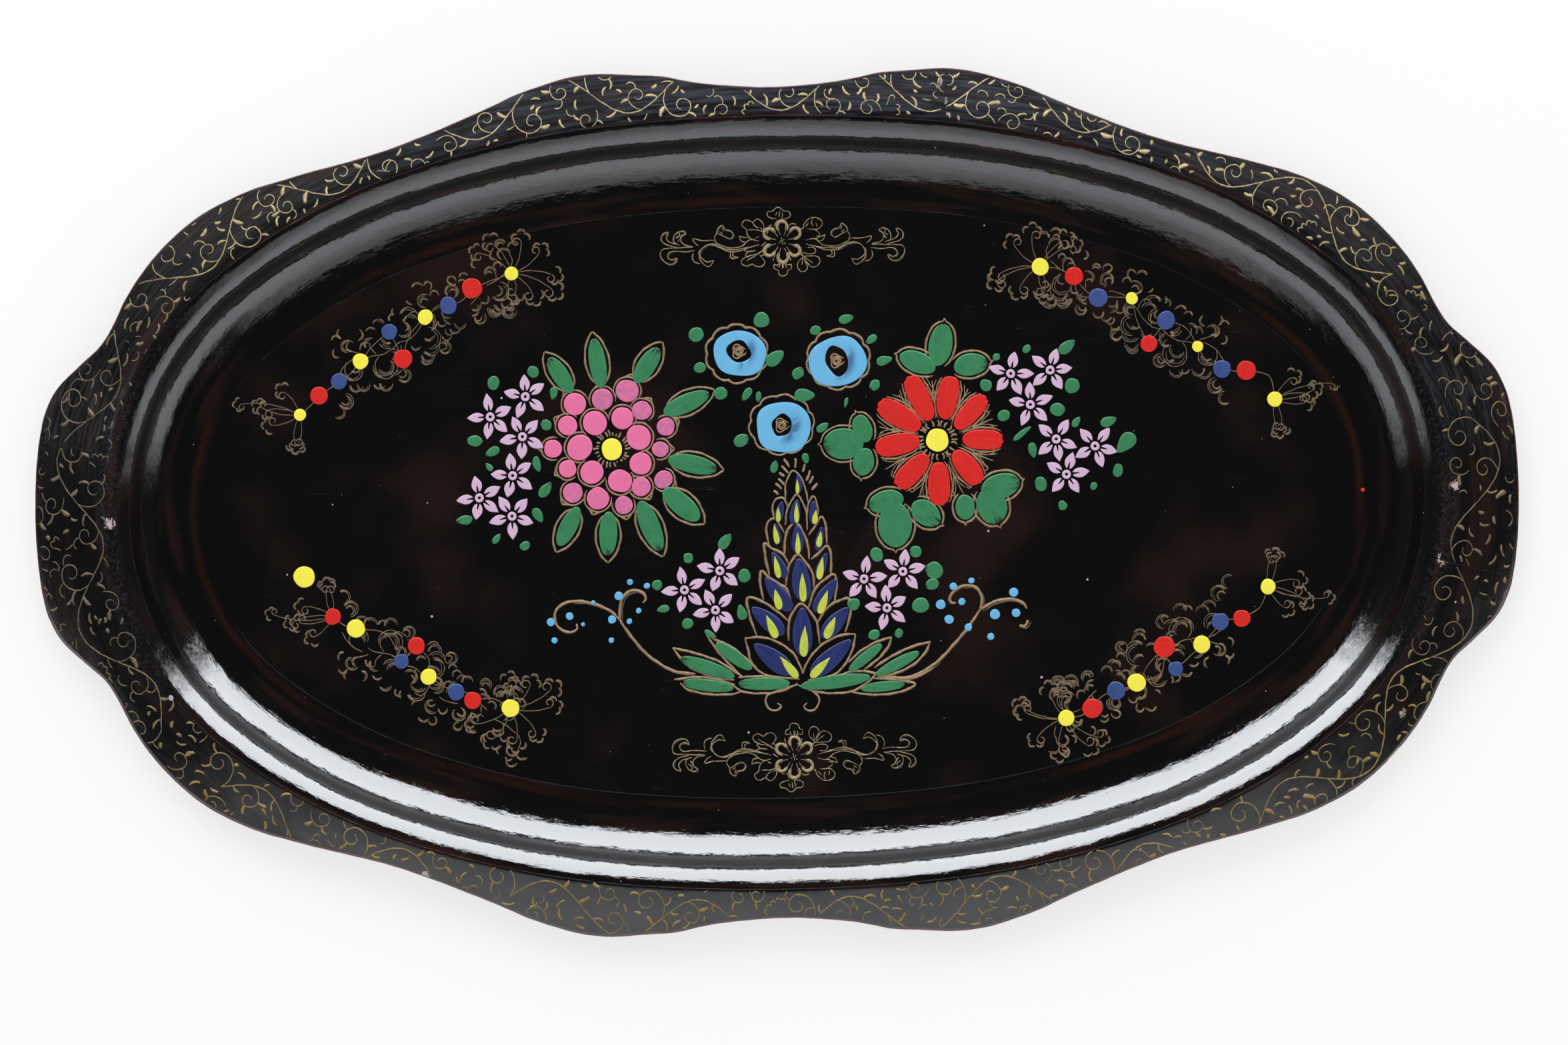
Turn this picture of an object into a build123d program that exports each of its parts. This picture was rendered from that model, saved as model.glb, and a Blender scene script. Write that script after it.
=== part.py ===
from build123d import *
import math
import os

# Oval serving tray of laminated paper board, lacquered and painted.
# Units are mm, +Z up.  Origin: centre of the flat underside.  +X runs along
# the long axis.  d is the distance outward from the crest line, where the
# wall turns over into the rim; t is the depth below the upper surface.

# ------------------------------------------------------------- dimensions
CREST_A = 260.0          # half length of the crest oval
CREST_B = 150.0          # half width of the crest oval
# each quarter of the crest is four tangent arcs, from the end of the oval
# round to its side: direction of the outward normal where an arc ends, and
# the radii of the first two arcs (the others follow from the half width)
CREST_TURNS = [51.48, 70.57, 85.04, 90.0]
CREST_R1 = 116.9
CREST_R2 = 223.1

T_FACE = 0.55            # black lacquered face sheets
T_CORE = 2.40            # pressed board
T_BACK = 0.50            # lacquered sheets underneath
GLUE = 0.03              # glue line between layers
SEAM = 0.20              # butt seams between neighbouring sheets

T1 = T_FACE              # under the face sheet
T2 = T1 + GLUE           # top of the core
T3 = T2 + T_CORE         # underside of the core
T4 = T3 + GLUE           # top of the backing
T5 = T4 + T_BACK         # underside of the tray
FLOOR_TOP = T5           # height of the painted floor

D_FLOOR = -34.0          # edge of the floor sheet and of the floor board
D_LAP_FLOOR = -30.4      # end of the floor board's half lap
D_CREST_SEAM = 0.6       # seam between cove sheet and rim strips
D_LAP_RIM_A = 1.0        # half lap between cove wall and rim core
D_LAP_RIM_B = 7.0
D_OUT = 37.0             # rim blanks are swept to here, then trimmed
BIND = 0.60              # thickness of the edge binding

# upper surface in section: a flat, then tangent arcs from (d, slope) to
# (d, slope); slopes in degrees, rising outward
SECTION_KNOTS = [(-40.0, 0.0), (-30.0, 0.0), (-21.0, 14.0), (-9.0, 64.0),
                 (-1.7, 17.0), (1.8, -11.0), (8.0, -18.0), (38.0, -22.5)]

# scalloped outline: radius at 0, 2, 4 ... 90 degrees; four equal quarters
OUTLINE = [290.2, 290.1, 290.0, 289.6, 288.4, 284.9, 277.9, 271.2,
           268.3, 266.9, 264.9, 262.2, 259.0, 255.1, 250.3, 244.4,
           238.0, 230.8, 224.2, 217.9, 212.2, 207.4, 203.4, 200.2,
           197.4, 195.1, 193.1, 191.5, 190.2, 189.3, 188.1, 186.8,
           185.6, 184.0, 181.9, 179.3, 176.7, 174.5, 172.3, 169.5,
           167.1, 165.3, 164.0, 163.1, 162.4, 162.2]

# four butt seams in the rim strips: distance along the crest, counter-
# clockwise from the +X end
RIM_SEAMS = [266.0, 643.0, 871.0, 1305.0]

ENAMEL = 0.34            # height of the raised enamel
ENAMEL_EDGE = 0.12       # bevel round each dab

# painted dabs on the floor.  Dots are (x, y, radius); strokes are
# (x, y, half length, half width, direction in degrees); roses are an outer
# and an inner stroke; lilac flowers are (x, y, five petal directions)
YELLOW_DOTS = [
    (63.3, 23.4, 4.50), (-64.4, 22.0, 4.20), (-185.9, -26.0, 4.20),
    (-166.0, -46.6, 3.60), (139.8, -73.1, 3.60), (-105.9, -78.9, 3.50),
    (165.6, -58.5, 3.40), (104.8, 90.7, 3.40), (112.0, -86.5, 3.20),
    (-137.8, -66.0, 3.20), (-162.4, 58.2, 3.10), (192.0, -36.3, 3.00),
    (195.9, 37.2, 3.00), (-136.7, 75.1, 3.00), (-102.6, 91.6, 2.70),
    (140.5, 77.7, 2.40), (-186.5, 37.6, 2.40), (166.0, 58.4, 2.20),
]
RED_DOTS = [
    (150.9, -59.3, 4.20), (-118.2, 86.1, 4.00), (122.2, -82.9, 3.90),
    (184.9, 48.7, 3.80), (-145.7, 58.9, 3.70), (118.0, 86.8, 3.60),
    (-178.9, 45.0, 3.50), (-142.4, -53.8, 3.40), (181.5, -48.6, 3.40),
    (-120.7, -75.6, 3.40), (146.9, 59.8, 3.30), (-175.0, -41.8, 3.20),
    (229.8, 1.0, 0.80),
]
RED_PETALS = [
    (56.7, 39.9, 9.55, 4.43, 115), (67.6, 40.0, 8.50, 4.50, 79),
    (76.4, 34.1, 8.50, 4.10, 47), (81.1, 23.3, 8.10, 4.20, 178),
    (74.8, 12.6, 7.90, 4.50, 128), (63.7, 6.3, 8.50, 4.70, 90),
    (53.3, 11.4, 8.50, 4.50, 45), (47.7, 22.0, 8.70, 4.60, 10),
    (48.6, 33.2, 9.55, 4.73, 149),
]
NAVY_DOTS = [
    (127.3, 78.2, 3.70), (153.8, 68.9, 3.60), (131.7, -76.1, 3.60),
    (175.4, 49.4, 3.50), (-127.6, 79.5, 3.40), (173.0, -49.7, 3.40),
    (-127.1, -72.2, 3.30), (-150.9, 69.6, 3.10), (-171.0, 50.5, 3.20),
    (-148.4, -59.8, 2.90), (155.2, -67.9, 2.90),
]
LUPINE_PETALS = [
    (8.6, 7.3, 3.58, 1.67, 93), (1.0, -3.6, 4.06, 2.00, 75),
    (7.1, -3.9, 5.00, 2.47, 80), (14.2, -4.3, 4.60, 2.07, 89),
    (-0.3, -12.2, 4.09, 1.80, 101), (7.8, -14.6, 5.60, 2.87, 89),
    (16.5, -14.5, 4.78, 1.94, 77), (0.3, -24.5, 5.61, 2.67, 117),
    (17.2, -25.1, 5.33, 2.20, 69), (8.9, -30.5, 8.57, 4.34, 96),
    (-0.2, -36.0, 8.21, 3.74, 127), (18.3, -36.8, 7.64, 3.34, 56),
    (-4.4, -46.3, 8.18, 4.00, 140), (9.1, -50.9, 9.51, 4.60, 90),
    (22.0, -47.6, 7.82, 3.87, 49), (-2.6, -61.3, 9.17, 4.54, 142),
    (20.2, -61.4, 10.63, 4.34, 41),
]
LUPINE_HIGHLIGHTS = [
    (8.1, 6.1, 2.77, 0.84, 90), (0.4, -4.7, 2.90, 1.02, 91),
    (7.6, -4.1, 3.90, 1.08, 90), (14.9, -5.9, 2.69, 1.26, 82),
    (-0.7, -12.5, 3.73, 1.26, 99), (7.9, -16.1, 4.10, 1.20, 90),
    (16.5, -14.7, 2.97, 1.26, 80), (-0.5, -25.3, 4.25, 1.38, 100),
    (16.7, -26.1, 4.32, 1.50, 80), (9.5, -33.5, 5.51, 1.62, 91),
    (-0.5, -38.0, 4.01, 1.68, 102), (17.6, -39.4, 4.65, 1.74, 70),
    (-3.0, -48.7, 4.71, 1.86, 113), (9.7, -54.7, 5.81, 1.92, 86),
    (20.1, -49.5, 4.50, 1.86, 65), (3.6, -64.7, 5.25, 1.80, 129),
    (15.9, -65.0, 5.17, 1.86, 45),
]
BLUE_ROSES = [
    (-13.6, 58.7, 10.41, 8.81, 171, -14.0, 59.5, 5.00, 4.20, 159),
    (24.7, 54.9, 11.41, 9.61, 9, 24.4, 55.2, 6.11, 4.40, 97),
    (3.0, 29.5, 10.71, 10.01, 179, 2.4, 30.3, 4.60, 3.80, 69),
]
BLUE_BEADS = [
    (84.7, -45.3, 2.00), (63.5, -41.1, 1.90), (92.2, -36.8, 1.80),
    (66.7, -47.0, 1.80), (-62.7, -35.6, 1.70), (93.0, -44.9, 1.70),
    (-89.5, -45.4, 1.60), (-65.5, -44.8, 1.60), (68.6, -34.1, 1.50),
    (74.2, -50.2, 1.50), (-82.1, -43.2, 1.50), (71.8, -40.1, 1.40),
    (82.9, -54.0, 1.40), (75.7, -31.9, 1.20), (-51.6, -31.8, 1.20),
    (-88.2, -52.6, 1.20), (-58.2, -30.2, 1.20), (-65.9, -52.9, 1.10),
    (-58.7, -45.6, 1.10), (-55.0, -41.5, 1.10), (-72.8, -38.0, 0.90),
    (-76.9, -46.5, 0.80),
]
PINK_BEADS = [
    (-78.6, 40.0, 4.39), (-81.6, 31.6, 3.83), (-67.8, 41.7, 4.20),
    (-70.9, 32.4, 4.76), (-58.0, 44.8, 4.48), (-60.1, 34.1, 4.35),
    (-52.4, 37.0, 3.81), (-53.8, 26.5, 4.86), (-43.1, 30.5, 3.55),
    (-45.4, 21.7, 3.18), (-53.2, 16.2, 4.39), (-44.4, 9.8, 3.59),
    (-77.0, 22.9, 5.04), (-87.5, 22.6, 3.55), (-81.9, 14.6, 3.46),
    (-72.4, 13.1, 4.58), (-80.0, 5.2, 3.92), (-70.2, 2.8, 4.39),
    (-61.4, 9.5, 4.62), (-53.2, 7.1, 3.78), (-60.1, -0.0, 3.55),
]
LONG_LEAVES = [
    (-49.9, -8.3, 10.00, 3.70, 111), (-37.5, -0.1, 8.80, 3.90, 138),
    (-32.9, 15.6, 9.40, 3.40, 167), (-35.0, 39.5, 9.30, 3.40, 23),
    (-69.4, 55.8, 9.40, 3.20, 98), (-66.4, -11.1, 8.30, 3.40, 87),
    (-50.1, 54.7, 7.80, 3.40, 55), (-81.9, -8.0, 8.10, 3.20, 62),
    (-84.1, 51.4, 7.90, 3.10, 123), (21.7, -70.7, 13.40, 2.50, 7),
    (-28.4, -64.3, 10.80, 2.60, 160), (-6.3, -71.0, 9.70, 2.40, 0),
    (-28.3, -71.3, 9.60, 2.30, 173), (-18.0, -60.0, 8.40, 2.40, 143),
    (46.2, -64.0, 9.20, 2.10, 27), (40.3, -72.9, 8.50, 1.90, 5),
    (33.6, -61.4, 8.00, 2.00, 38),
]
CLOVER_LOBES = [
    (65.2, 60.7, 8.29, 4.68, 79), (56.1, 54.1, 7.57, 4.05, 157),
    (76.8, 52.8, 6.76, 4.32, 7), (26.5, 22.6, 7.93, 6.13, 179),
    (34.0, 28.4, 5.58, 3.78, 109), (34.3, 15.3, 5.40, 4.14, 79),
    (42.8, -0.4, 6.85, 4.50, 14), (46.2, -9.7, 8.65, 6.67, 89),
    (58.3, -5.2, 6.49, 4.68, 141), (87.7, 4.9, 7.66, 4.95, 14),
    (84.2, -2.7, 7.21, 5.95, 109), (73.7, -3.1, 4.95, 3.78, 89),
]
GREEN_DABS = [
    (0.2, 56.7, 3.59, 2.62, 36), (137.2, 21.1, 4.17, 3.01, 47),
    (-4.9, 71.7, 3.10, 2.72, 13), (11.5, 41.9, 3.49, 2.52, 179),
    (116.5, 43.8, 2.91, 2.72, 46), (55.6, -41.3, 3.30, 2.72, 14),
    (114.8, 59.2, 3.34, 2.20, 38), (-30.6, 66.4, 2.91, 2.62, 35),
    (-20.6, -14.9, 3.01, 2.19, 49), (38.7, -21.1, 2.62, 2.42, 104),
    (-13.6, 24.6, 2.91, 2.33, 16), (110.6, 34.6, 2.91, 2.33, 164),
    (-21.3, 43.2, 2.52, 2.33, 18), (-13.3, -28.5, 2.52, 2.33, 96),
    (-118.1, 26.2, 2.72, 2.13, 178), (103.6, 5.5, 2.72, 2.23, 104),
    (-90.7, 6.6, 3.01, 2.04, 49), (-110.4, 48.8, 2.62, 2.23, 80),
    (54.0, -20.2, 2.26, 2.16, 160), (29.4, -40.4, 2.35, 2.26, 176),
    (9.1, 50.6, 2.33, 2.13, 55), (-93.9, 16.6, 2.62, 1.61, 102),
    (89.5, 32.6, 2.42, 2.04, 19), (-94.8, 52.9, 2.23, 2.13, 97),
    (82.7, 44.6, 2.33, 2.13, 131), (-93.8, -3.4, 2.72, 1.84, 119),
    (133.9, 10.3, 2.42, 1.94, 83), (-122.8, -4.8, 2.81, 1.84, 5),
    (130.6, 29.6, 2.91, 1.94, 21), (-29.4, 53.4, 2.33, 1.94, 18),
    (28.4, 71.6, 2.62, 1.75, 16), (-111.3, 21.8, 2.62, 1.75, 26),
    (43.0, 55.0, 2.72, 1.84, 17), (100.6, 18.8, 2.52, 1.75, 103),
    (-14.6, -42.9, 2.62, 1.94, 104), (39.1, 45.4, 2.23, 1.84, 51),
    (37.2, -52.5, 2.23, 1.84, 9), (-35.9, -46.9, 2.13, 1.94, 21),
    (-90.0, 32.0, 2.13, 1.94, 126), (-11.2, 42.6, 2.62, 1.55, 56),
    (96.6, 25.5, 3.69, 1.16, 36), (-47.6, -31.6, 1.94, 1.94, 85),
    (18.4, 29.2, 2.33, 1.55, 30), (-35.2, -21.2, 1.94, 1.84, 82),
    (16.2, 67.3, 2.04, 1.75, 37), (-86.9, 44.3, 2.23, 1.55, 77),
    (-0.8, 14.1, 2.13, 1.55, 77), (-45.4, -41.0, 2.13, 1.46, 11),
    (-99.1, -15.3, 2.04, 1.65, 16), (38.0, 63.3, 2.13, 1.55, 34),
    (46.9, -52.1, 1.75, 1.55, 52), (112.0, -3.1, 1.75, 1.65, 102),
    (117.9, 29.6, 2.04, 1.36, 52), (11.5, 17.1, 1.84, 1.36, 103),
    (-110.2, -12.3, 2.04, 1.26, 50), (-26.9, -51.3, 2.41, 1.11, 144),
    (98.9, 58.6, 1.75, 1.36, 43), (-6.6, 41.5, 1.84, 1.16, 82),
    (87.0, 55.6, 1.55, 1.26, 5), (124.3, 4.3, 1.55, 1.26, 62),
    (-112.7, 15.9, 1.65, 1.16, 133), (27.7, 38.7, 1.75, 0.78, 76),
    (61.2, -27.7, 3.30, 3.18, 179), (60.3, -33.1, 2.52, 2.04, 14),
]
LILAC_FLOWERS = [
    (-98, 43.2, 92, 34, -38, -112, 166),
    (-111.9, 35.5, 98, 24, -42, -99, 182),
    (-99.4, 27.5, 116, 46, -28, -93, 191),
    (-103.5, 12.3, 97, 34, -35, -105, 175),
    (-116.7, 3.8, 101, 27, -38, -100, 186),
    (-104, -3.6, 123, 48, -19, -89, 195),
    (-22.9, -26.4, 90, 33, -40, -111, 167),
    (-36.9, -33.7, 100, 26, -41, -103, 183),
    (-24.9, -41.8, 116, 43, -36, -90, 191),
    (48.9, -27.9, 82, 13, -51, -134, 148),
    (33.6, -30.6, 81, 7, -58, -130, 162),
    (42.4, -42.1, 93, 29, -38, -106, 175), (92.5, 49, 79, -1, -65, -130, 162),
    (108, 50.1, 72, 5, -59, -139, 141), (100, 36.7, 91, 20, -45, -114, 167),
    (109.9, 23, 57, -23, -82, 220, 140), (125.1, 20, 50, -16, -71, 209, 130),
    (113.7, 9.1, 73, 7, -56, -130, 149),
]

PETAL_AT = 5.9           # lilac petals: centre, half length, half width
PETAL_LONG = 2.9
PETAL_WIDE = 1.9
EYE_OUT = 1.75           # lilac flower's eye
EYE_IN = 0.6

# ------------------------------------------------------------ crest line


def crest_arcs():
    """Whole crest as (centre x, centre y, radius, normal from, normal to)."""
    turn = [math.radians(v) for v in [0.0] + CREST_TURNS]
    dc = [math.cos(b) - math.cos(a) for a, b in zip(turn, turn[1:])]
    ds = [math.sin(b) - math.sin(a) for a, b in zip(turn, turn[1:])]
    rx = -CREST_A - CREST_R1 * dc[0] - CREST_R2 * dc[1]
    ry = CREST_B - CREST_R1 * ds[0] - CREST_R2 * ds[1]
    det = dc[2] * ds[3] - dc[3] * ds[2]
    radii = [CREST_R1, CREST_R2,
             (rx * ds[3] - dc[3] * ry) / det, (dc[2] * ry - rx * ds[2]) / det]
    x, y, quarter = CREST_A, 0.0, []
    for k, r in enumerate(radii):
        cx, cy = x - r * math.cos(turn[k]), y - r * math.sin(turn[k])
        quarter.append((cx, cy, r, math.degrees(turn[k]),
                        math.degrees(turn[k + 1])))
        x, y = cx + r * math.cos(turn[k + 1]), cy + r * math.sin(turn[k + 1])
    end, side = quarter[0], quarter[3]
    arcs = [(end[0], 0.0, end[2], -end[4], end[4])]
    arcs += [quarter[1], quarter[2]]
    arcs += [(0.0, side[1], side[2], side[3], 180.0 - side[3])]
    arcs += [(-cx, cy, r, 180.0 - b, 180.0 - a)
             for cx, cy, r, a, b in (quarter[2], quarter[1])]
    arcs += [(-cx, -cy, r, 180.0 + a, 180.0 + b)
             for cx, cy, r, a, b in list(arcs)]
    return arcs


CREST = crest_arcs()
CREST_LENGTH = sum(r * math.radians(b - a) for cx, cy, r, a, b in CREST)


def on_arc(arc, turn, d=0.0):
    cx, cy, r = arc[:3]
    return (cx + (r + d) * math.cos(math.radians(turn)),
            cy + (r + d) * math.sin(math.radians(turn)))


def crest_at(run, d):
    """Plan point a distance along the crest, and d outward of it."""
    run = (run + CREST[0][2] * math.radians(CREST[0][4])) % CREST_LENGTH
    for arc in CREST:
        reach = arc[2] * math.radians(arc[4] - arc[3])
        if run <= reach:
            return on_arc(arc, arc[3] + math.degrees(run / arc[2]), d)
        run -= reach
    return on_arc(CREST[0], CREST[0][3], d)


def oval(d):
    """Closed line parallel to the crest."""
    for arc in CREST:
        a, b = arc[3], arc[4]
        ThreePointArc(on_arc(arc, a, d), on_arc(arc, (a + b) / 2, d),
                      on_arc(arc, b, d))


# ---------------------------------------------------------- cross section


def section_at(d, t=0.0):
    """Point of the section d outward of the crest, at depth t."""
    z, past = FLOOR_TOP, SECTION_KNOTS[0]
    for knot in SECTION_KNOTS[1:]:
        d0, d1 = past[0], knot[0]
        s0, s1 = (math.sin(math.radians(v)) for v in (past[1], knot[1]))
        stop = min(d, d1)
        s = s0 + (s1 - s0) * (stop - d0) / (d1 - d0)
        if abs(s1 - s0) < 1e-9:
            z += (stop - d0) * s0 / math.sqrt(1 - s0 * s0)
        else:
            radius = (d1 - d0) / (s1 - s0)
            z += radius * (math.sqrt(1 - s0 * s0) - math.sqrt(1 - s * s))
        if d <= d1:
            break
        past = knot
    return (d + t * s, z - t * math.sqrt(1 - s * s))


def section_line(d0, d1, t):
    """The upper surface's line, drawn at depth t between d0 and d1."""
    stops = [d0] + [k[0] for k in SECTION_KNOTS if d0 < k[0] < d1] + [d1]
    for a, b in zip(stops, stops[1:]):
        if b <= -30.0:
            Line(section_at(a, t), section_at(b, t))
        else:
            ThreePointArc(section_at(a, t), section_at((a + b) / 2, t),
                          section_at(b, t))


def sheet(d0, d1, t0, t1):
    """One sheet in section, from d0 to d1 and from depth t0 to t1."""
    section_line(d0, d1, t0)
    Line(section_at(d1, t0), section_at(d1, t1))
    section_line(d0, d1, t1)
    Line(section_at(d0, t1), section_at(d0, t0))


def across(arc):
    """Plane standing across the crest where an arc begins."""
    n = math.radians(arc[3])
    x, y = on_arc(arc, arc[3])
    return Plane(origin=(x, y, 0), x_dir=(math.cos(n), math.sin(n), 0),
                 z_dir=(math.sin(n), -math.cos(n), 0))


def turn_about(arc):
    """Revolve the pending section round an arc of the crest."""
    revolve(axis=Axis((arc[0], arc[1], 0), (0, 0, 1)),
            revolution_arc=arc[4] - arc[3], clean=False)


def closed_curve(ring, pieces):
    """Smooth closed curve through a ring of points, as equal splines."""
    n = len(ring)
    step = n // pieces

    def heading(i):
        a, b = ring[(i - 1) % n], ring[(i + 1) % n]
        m = math.dist(a, b)
        return ((b[0] - a[0]) / m, (b[1] - a[1]) / m)

    return [Spline(*[ring[(k * step + j) % n] for j in range(step + 1)],
                   tangents=[heading(k * step), heading((k + 1) * step)],
                   tangent_scalars=[1, 1], mode=Mode.PRIVATE)
            for k in range(pieces)]


def outline_face(inset=0.0):
    """Scalloped outline, drawn in by inset."""
    radii = OUTLINE + OUTLINE[-2::-1]
    radii = radii + radii[-2:0:-1]
    ring = [(r * math.cos(math.radians(2 * k)),
             r * math.sin(math.radians(2 * k)))
            for k, r in enumerate(radii)]
    out = []
    for k, p in enumerate(ring):
        a, b = ring[k - 1], ring[(k + 1) % len(ring)]
        tx, ty = b[0] - a[0], b[1] - a[1]
        m = math.hypot(tx, ty)
        out.append((p[0] - inset * ty / m, p[1] + inset * tx / m))
    return Face(Wire([e.edge() for e in closed_curve(out, 36)]))


TRIM = outline_face(BIND + GLUE)
EDGE = outline_face()
EDGE_INNER = outline_face(BIND)

# ------------------------------------------------------------- the floor

CORE_BASE = FLOOR_TOP - T3
CORE_TOP = FLOOR_TOP - T2
CORE_MID = (CORE_BASE + CORE_TOP) / 2

with BuildPart() as floor_backing:
    with BuildSketch():
        with BuildLine():
            oval(D_FLOOR - SEAM / 2)
        make_face()
    extrude(amount=T_BACK)

# the board's lower half runs on under the cove wall
with BuildPart() as floor_board:
    with BuildSketch(Plane.XY.offset(CORE_BASE)):
        with BuildLine():
            oval(D_LAP_FLOOR - 0.1)
        make_face()
    extrude(amount=T_CORE / 2 - GLUE / 2)
    with BuildSketch(Plane.XY.offset(CORE_MID - GLUE / 2)):
        with BuildLine():
            oval(D_FLOOR)
        make_face()
    extrude(amount=T_CORE / 2 + GLUE / 2)

with BuildPart() as floor_lining:
    with BuildSketch(Plane.XY.offset(FLOOR_TOP - T_FACE)):
        with BuildLine():
            oval(D_FLOOR - SEAM / 2)
        make_face()
    extrude(amount=T_FACE)

# ------------------------------------------------------------- the wall

MID = (T2 + T3) / 2

with BuildPart() as cove_wall:
    for arc in CREST:
        with BuildSketch(across(arc)):
            with BuildLine():
                section_line(D_FLOOR + 0.1, D_LAP_RIM_A, T2)
                Line(section_at(D_LAP_RIM_A, T2),
                     section_at(D_LAP_RIM_A, MID + GLUE / 2))
                section_line(D_LAP_RIM_A, D_LAP_RIM_B, MID + GLUE / 2)
                Line(section_at(D_LAP_RIM_B, MID + GLUE / 2),
                     section_at(D_LAP_RIM_B, T3))
                section_line(D_LAP_FLOOR, D_LAP_RIM_B, T3)
                Line(section_at(D_LAP_FLOOR, T3),
                     section_at(D_LAP_FLOOR, MID - GLUE / 2))
                Line(section_at(D_LAP_FLOOR, MID - GLUE / 2),
                     section_at(D_FLOOR + 0.1, MID - GLUE / 2))
                Line(section_at(D_FLOOR + 0.1, MID - GLUE / 2),
                     section_at(D_FLOOR + 0.1, T2))
            make_face()
        turn_about(arc)

with BuildPart() as cove_lining:
    for arc in CREST:
        with BuildSketch(across(arc)):
            with BuildLine():
                sheet(D_FLOOR + SEAM / 2, D_CREST_SEAM - SEAM / 2, 0.0, T1)
            make_face()
        turn_about(arc)

# -------------------------------------------------------------- the rim

with BuildPart() as rim_flange:
    for arc in CREST:
        with BuildSketch(across(arc)):
            with BuildLine():
                section_line(D_LAP_RIM_A + 0.1, D_OUT, T2)
                Line(section_at(D_OUT, T2), section_at(D_OUT, T3))
                section_line(D_LAP_RIM_B + 0.1, D_OUT, T3)
                Line(section_at(D_LAP_RIM_B + 0.1, T3),
                     section_at(D_LAP_RIM_B + 0.1, MID - GLUE / 2))
                section_line(D_LAP_RIM_A + 0.1, D_LAP_RIM_B + 0.1,
                             MID - GLUE / 2)
                Line(section_at(D_LAP_RIM_A + 0.1, MID - GLUE / 2),
                     section_at(D_LAP_RIM_A + 0.1, T2))
            make_face()
        turn_about(arc)
    extrude(TRIM, amount=40, mode=Mode.INTERSECT, clean=False)

with BuildPart() as wall_backing:
    for arc in CREST:
        with BuildSketch(across(arc)):
            with BuildLine():
                sheet(D_FLOOR + SEAM / 2, D_OUT, T4, T5)
            make_face()
        turn_about(arc)
    extrude(TRIM.moved(Location((0, 0, -1))), amount=40,
            mode=Mode.INTERSECT, clean=False)

with BuildPart() as seam_blades:
    for place in RIM_SEAMS:
        x0, y0 = crest_at(place, 18.0)
        x1, y1 = crest_at(place, 19.0)
        turn = math.degrees(math.atan2(y1 - y0, x1 - x0))
        with Locations(Location((x0, y0, 15.0), (0, 0, turn))):
            Box(48.0, SEAM, 40.0)

with BuildPart() as rim_strips:
    for arc in CREST:
        with BuildSketch(across(arc)):
            with BuildLine():
                sheet(D_CREST_SEAM + SEAM / 2, D_OUT, 0.0, T1)
            make_face()
        turn_about(arc)
    extrude(TRIM, amount=40, mode=Mode.INTERSECT, clean=False)
    add(seam_blades.part, mode=Mode.SUBTRACT, clean=False)

strip_solids = {}
for piece in rim_strips.solids():
    c = piece.center(CenterOf.BOUNDING_BOX)
    strip_solids[("upper_" if c.Y > 0 else "lower_")
                 + ("right" if c.X > 0 else "left")] = piece

with BuildPart() as rim_strip_upper_right:
    add(strip_solids["upper_right"], clean=False)
with BuildPart() as rim_strip_upper_left:
    add(strip_solids["upper_left"], clean=False)
with BuildPart() as rim_strip_lower_left:
    add(strip_solids["lower_left"], clean=False)
with BuildPart() as rim_strip_lower_right:
    add(strip_solids["lower_right"], clean=False)

with BuildPart() as edge_binding:
    for arc in CREST:
        with BuildSketch(across(arc)):
            with BuildLine():
                sheet(9.0, D_OUT, 0.0, T5)
            make_face()
        turn_about(arc)
    extrude(EDGE, amount=40, mode=Mode.INTERSECT, clean=False)
    extrude(EDGE_INNER, amount=40, mode=Mode.SUBTRACT, clean=False)

# ------------------------------------------------------- raised enamel

PAINT = Plane.XY.offset(FLOOR_TOP)


def dots(table):
    for x, y, r in table:
        with Locations((x, y)):
            Circle(r)


def strokes(table):
    for x, y, a, b, turn in table:
        with Locations(Location((x, y, 0), (0, 0, turn))):
            Ellipse(a, b)


def bevel(part):
    chamfer(part.edges().group_by(Axis.Z)[-1], ENAMEL_EDGE)


with BuildPart() as yellow_dots:
    with BuildSketch(PAINT):
        dots(YELLOW_DOTS)
    extrude(amount=ENAMEL)
    bevel(yellow_dots)

with BuildPart() as red_dots:
    with BuildSketch(PAINT):
        dots(RED_DOTS)
    extrude(amount=ENAMEL)
    bevel(red_dots)

with BuildPart() as red_flower_petals:
    with BuildSketch(PAINT):
        strokes(RED_PETALS)
    extrude(amount=ENAMEL)
    bevel(red_flower_petals)

with BuildPart() as navy_dots:
    with BuildSketch(PAINT):
        dots(NAVY_DOTS)
    extrude(amount=ENAMEL)
    bevel(navy_dots)

with BuildPart() as lupine_petals:
    with BuildSketch(PAINT):
        strokes(LUPINE_PETALS)
    extrude(amount=ENAMEL)

# second coat: each highlight lies on its petal
with BuildPart() as lupine_highlights:
    with BuildSketch(PAINT.offset(ENAMEL)):
        strokes(LUPINE_HIGHLIGHTS)
    extrude(amount=ENAMEL * 0.7)

with BuildPart() as blue_roses:
    with BuildSketch(PAINT):
        for rose in BLUE_ROSES:
            strokes([rose[:5]])
        for x, y, a, b, turn in [rose[5:] for rose in BLUE_ROSES]:
            with Locations(Location((x, y, 0), (0, 0, turn))):
                Ellipse(a, b, mode=Mode.SUBTRACT)
    extrude(amount=ENAMEL)
    bevel(blue_roses)

with BuildPart() as blue_beads:
    with BuildSketch(PAINT):
        dots(BLUE_BEADS)
    extrude(amount=ENAMEL)
    bevel(blue_beads)

with BuildPart() as pink_flower_beads:
    with BuildSketch(PAINT):
        dots(PINK_BEADS)
    extrude(amount=ENAMEL)
    bevel(pink_flower_beads)

with BuildPart() as green_leaves:
    with BuildSketch(PAINT):
        strokes(LONG_LEAVES)
        strokes(CLOVER_LOBES)
        strokes(GREEN_DABS)
    extrude(amount=ENAMEL)

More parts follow.
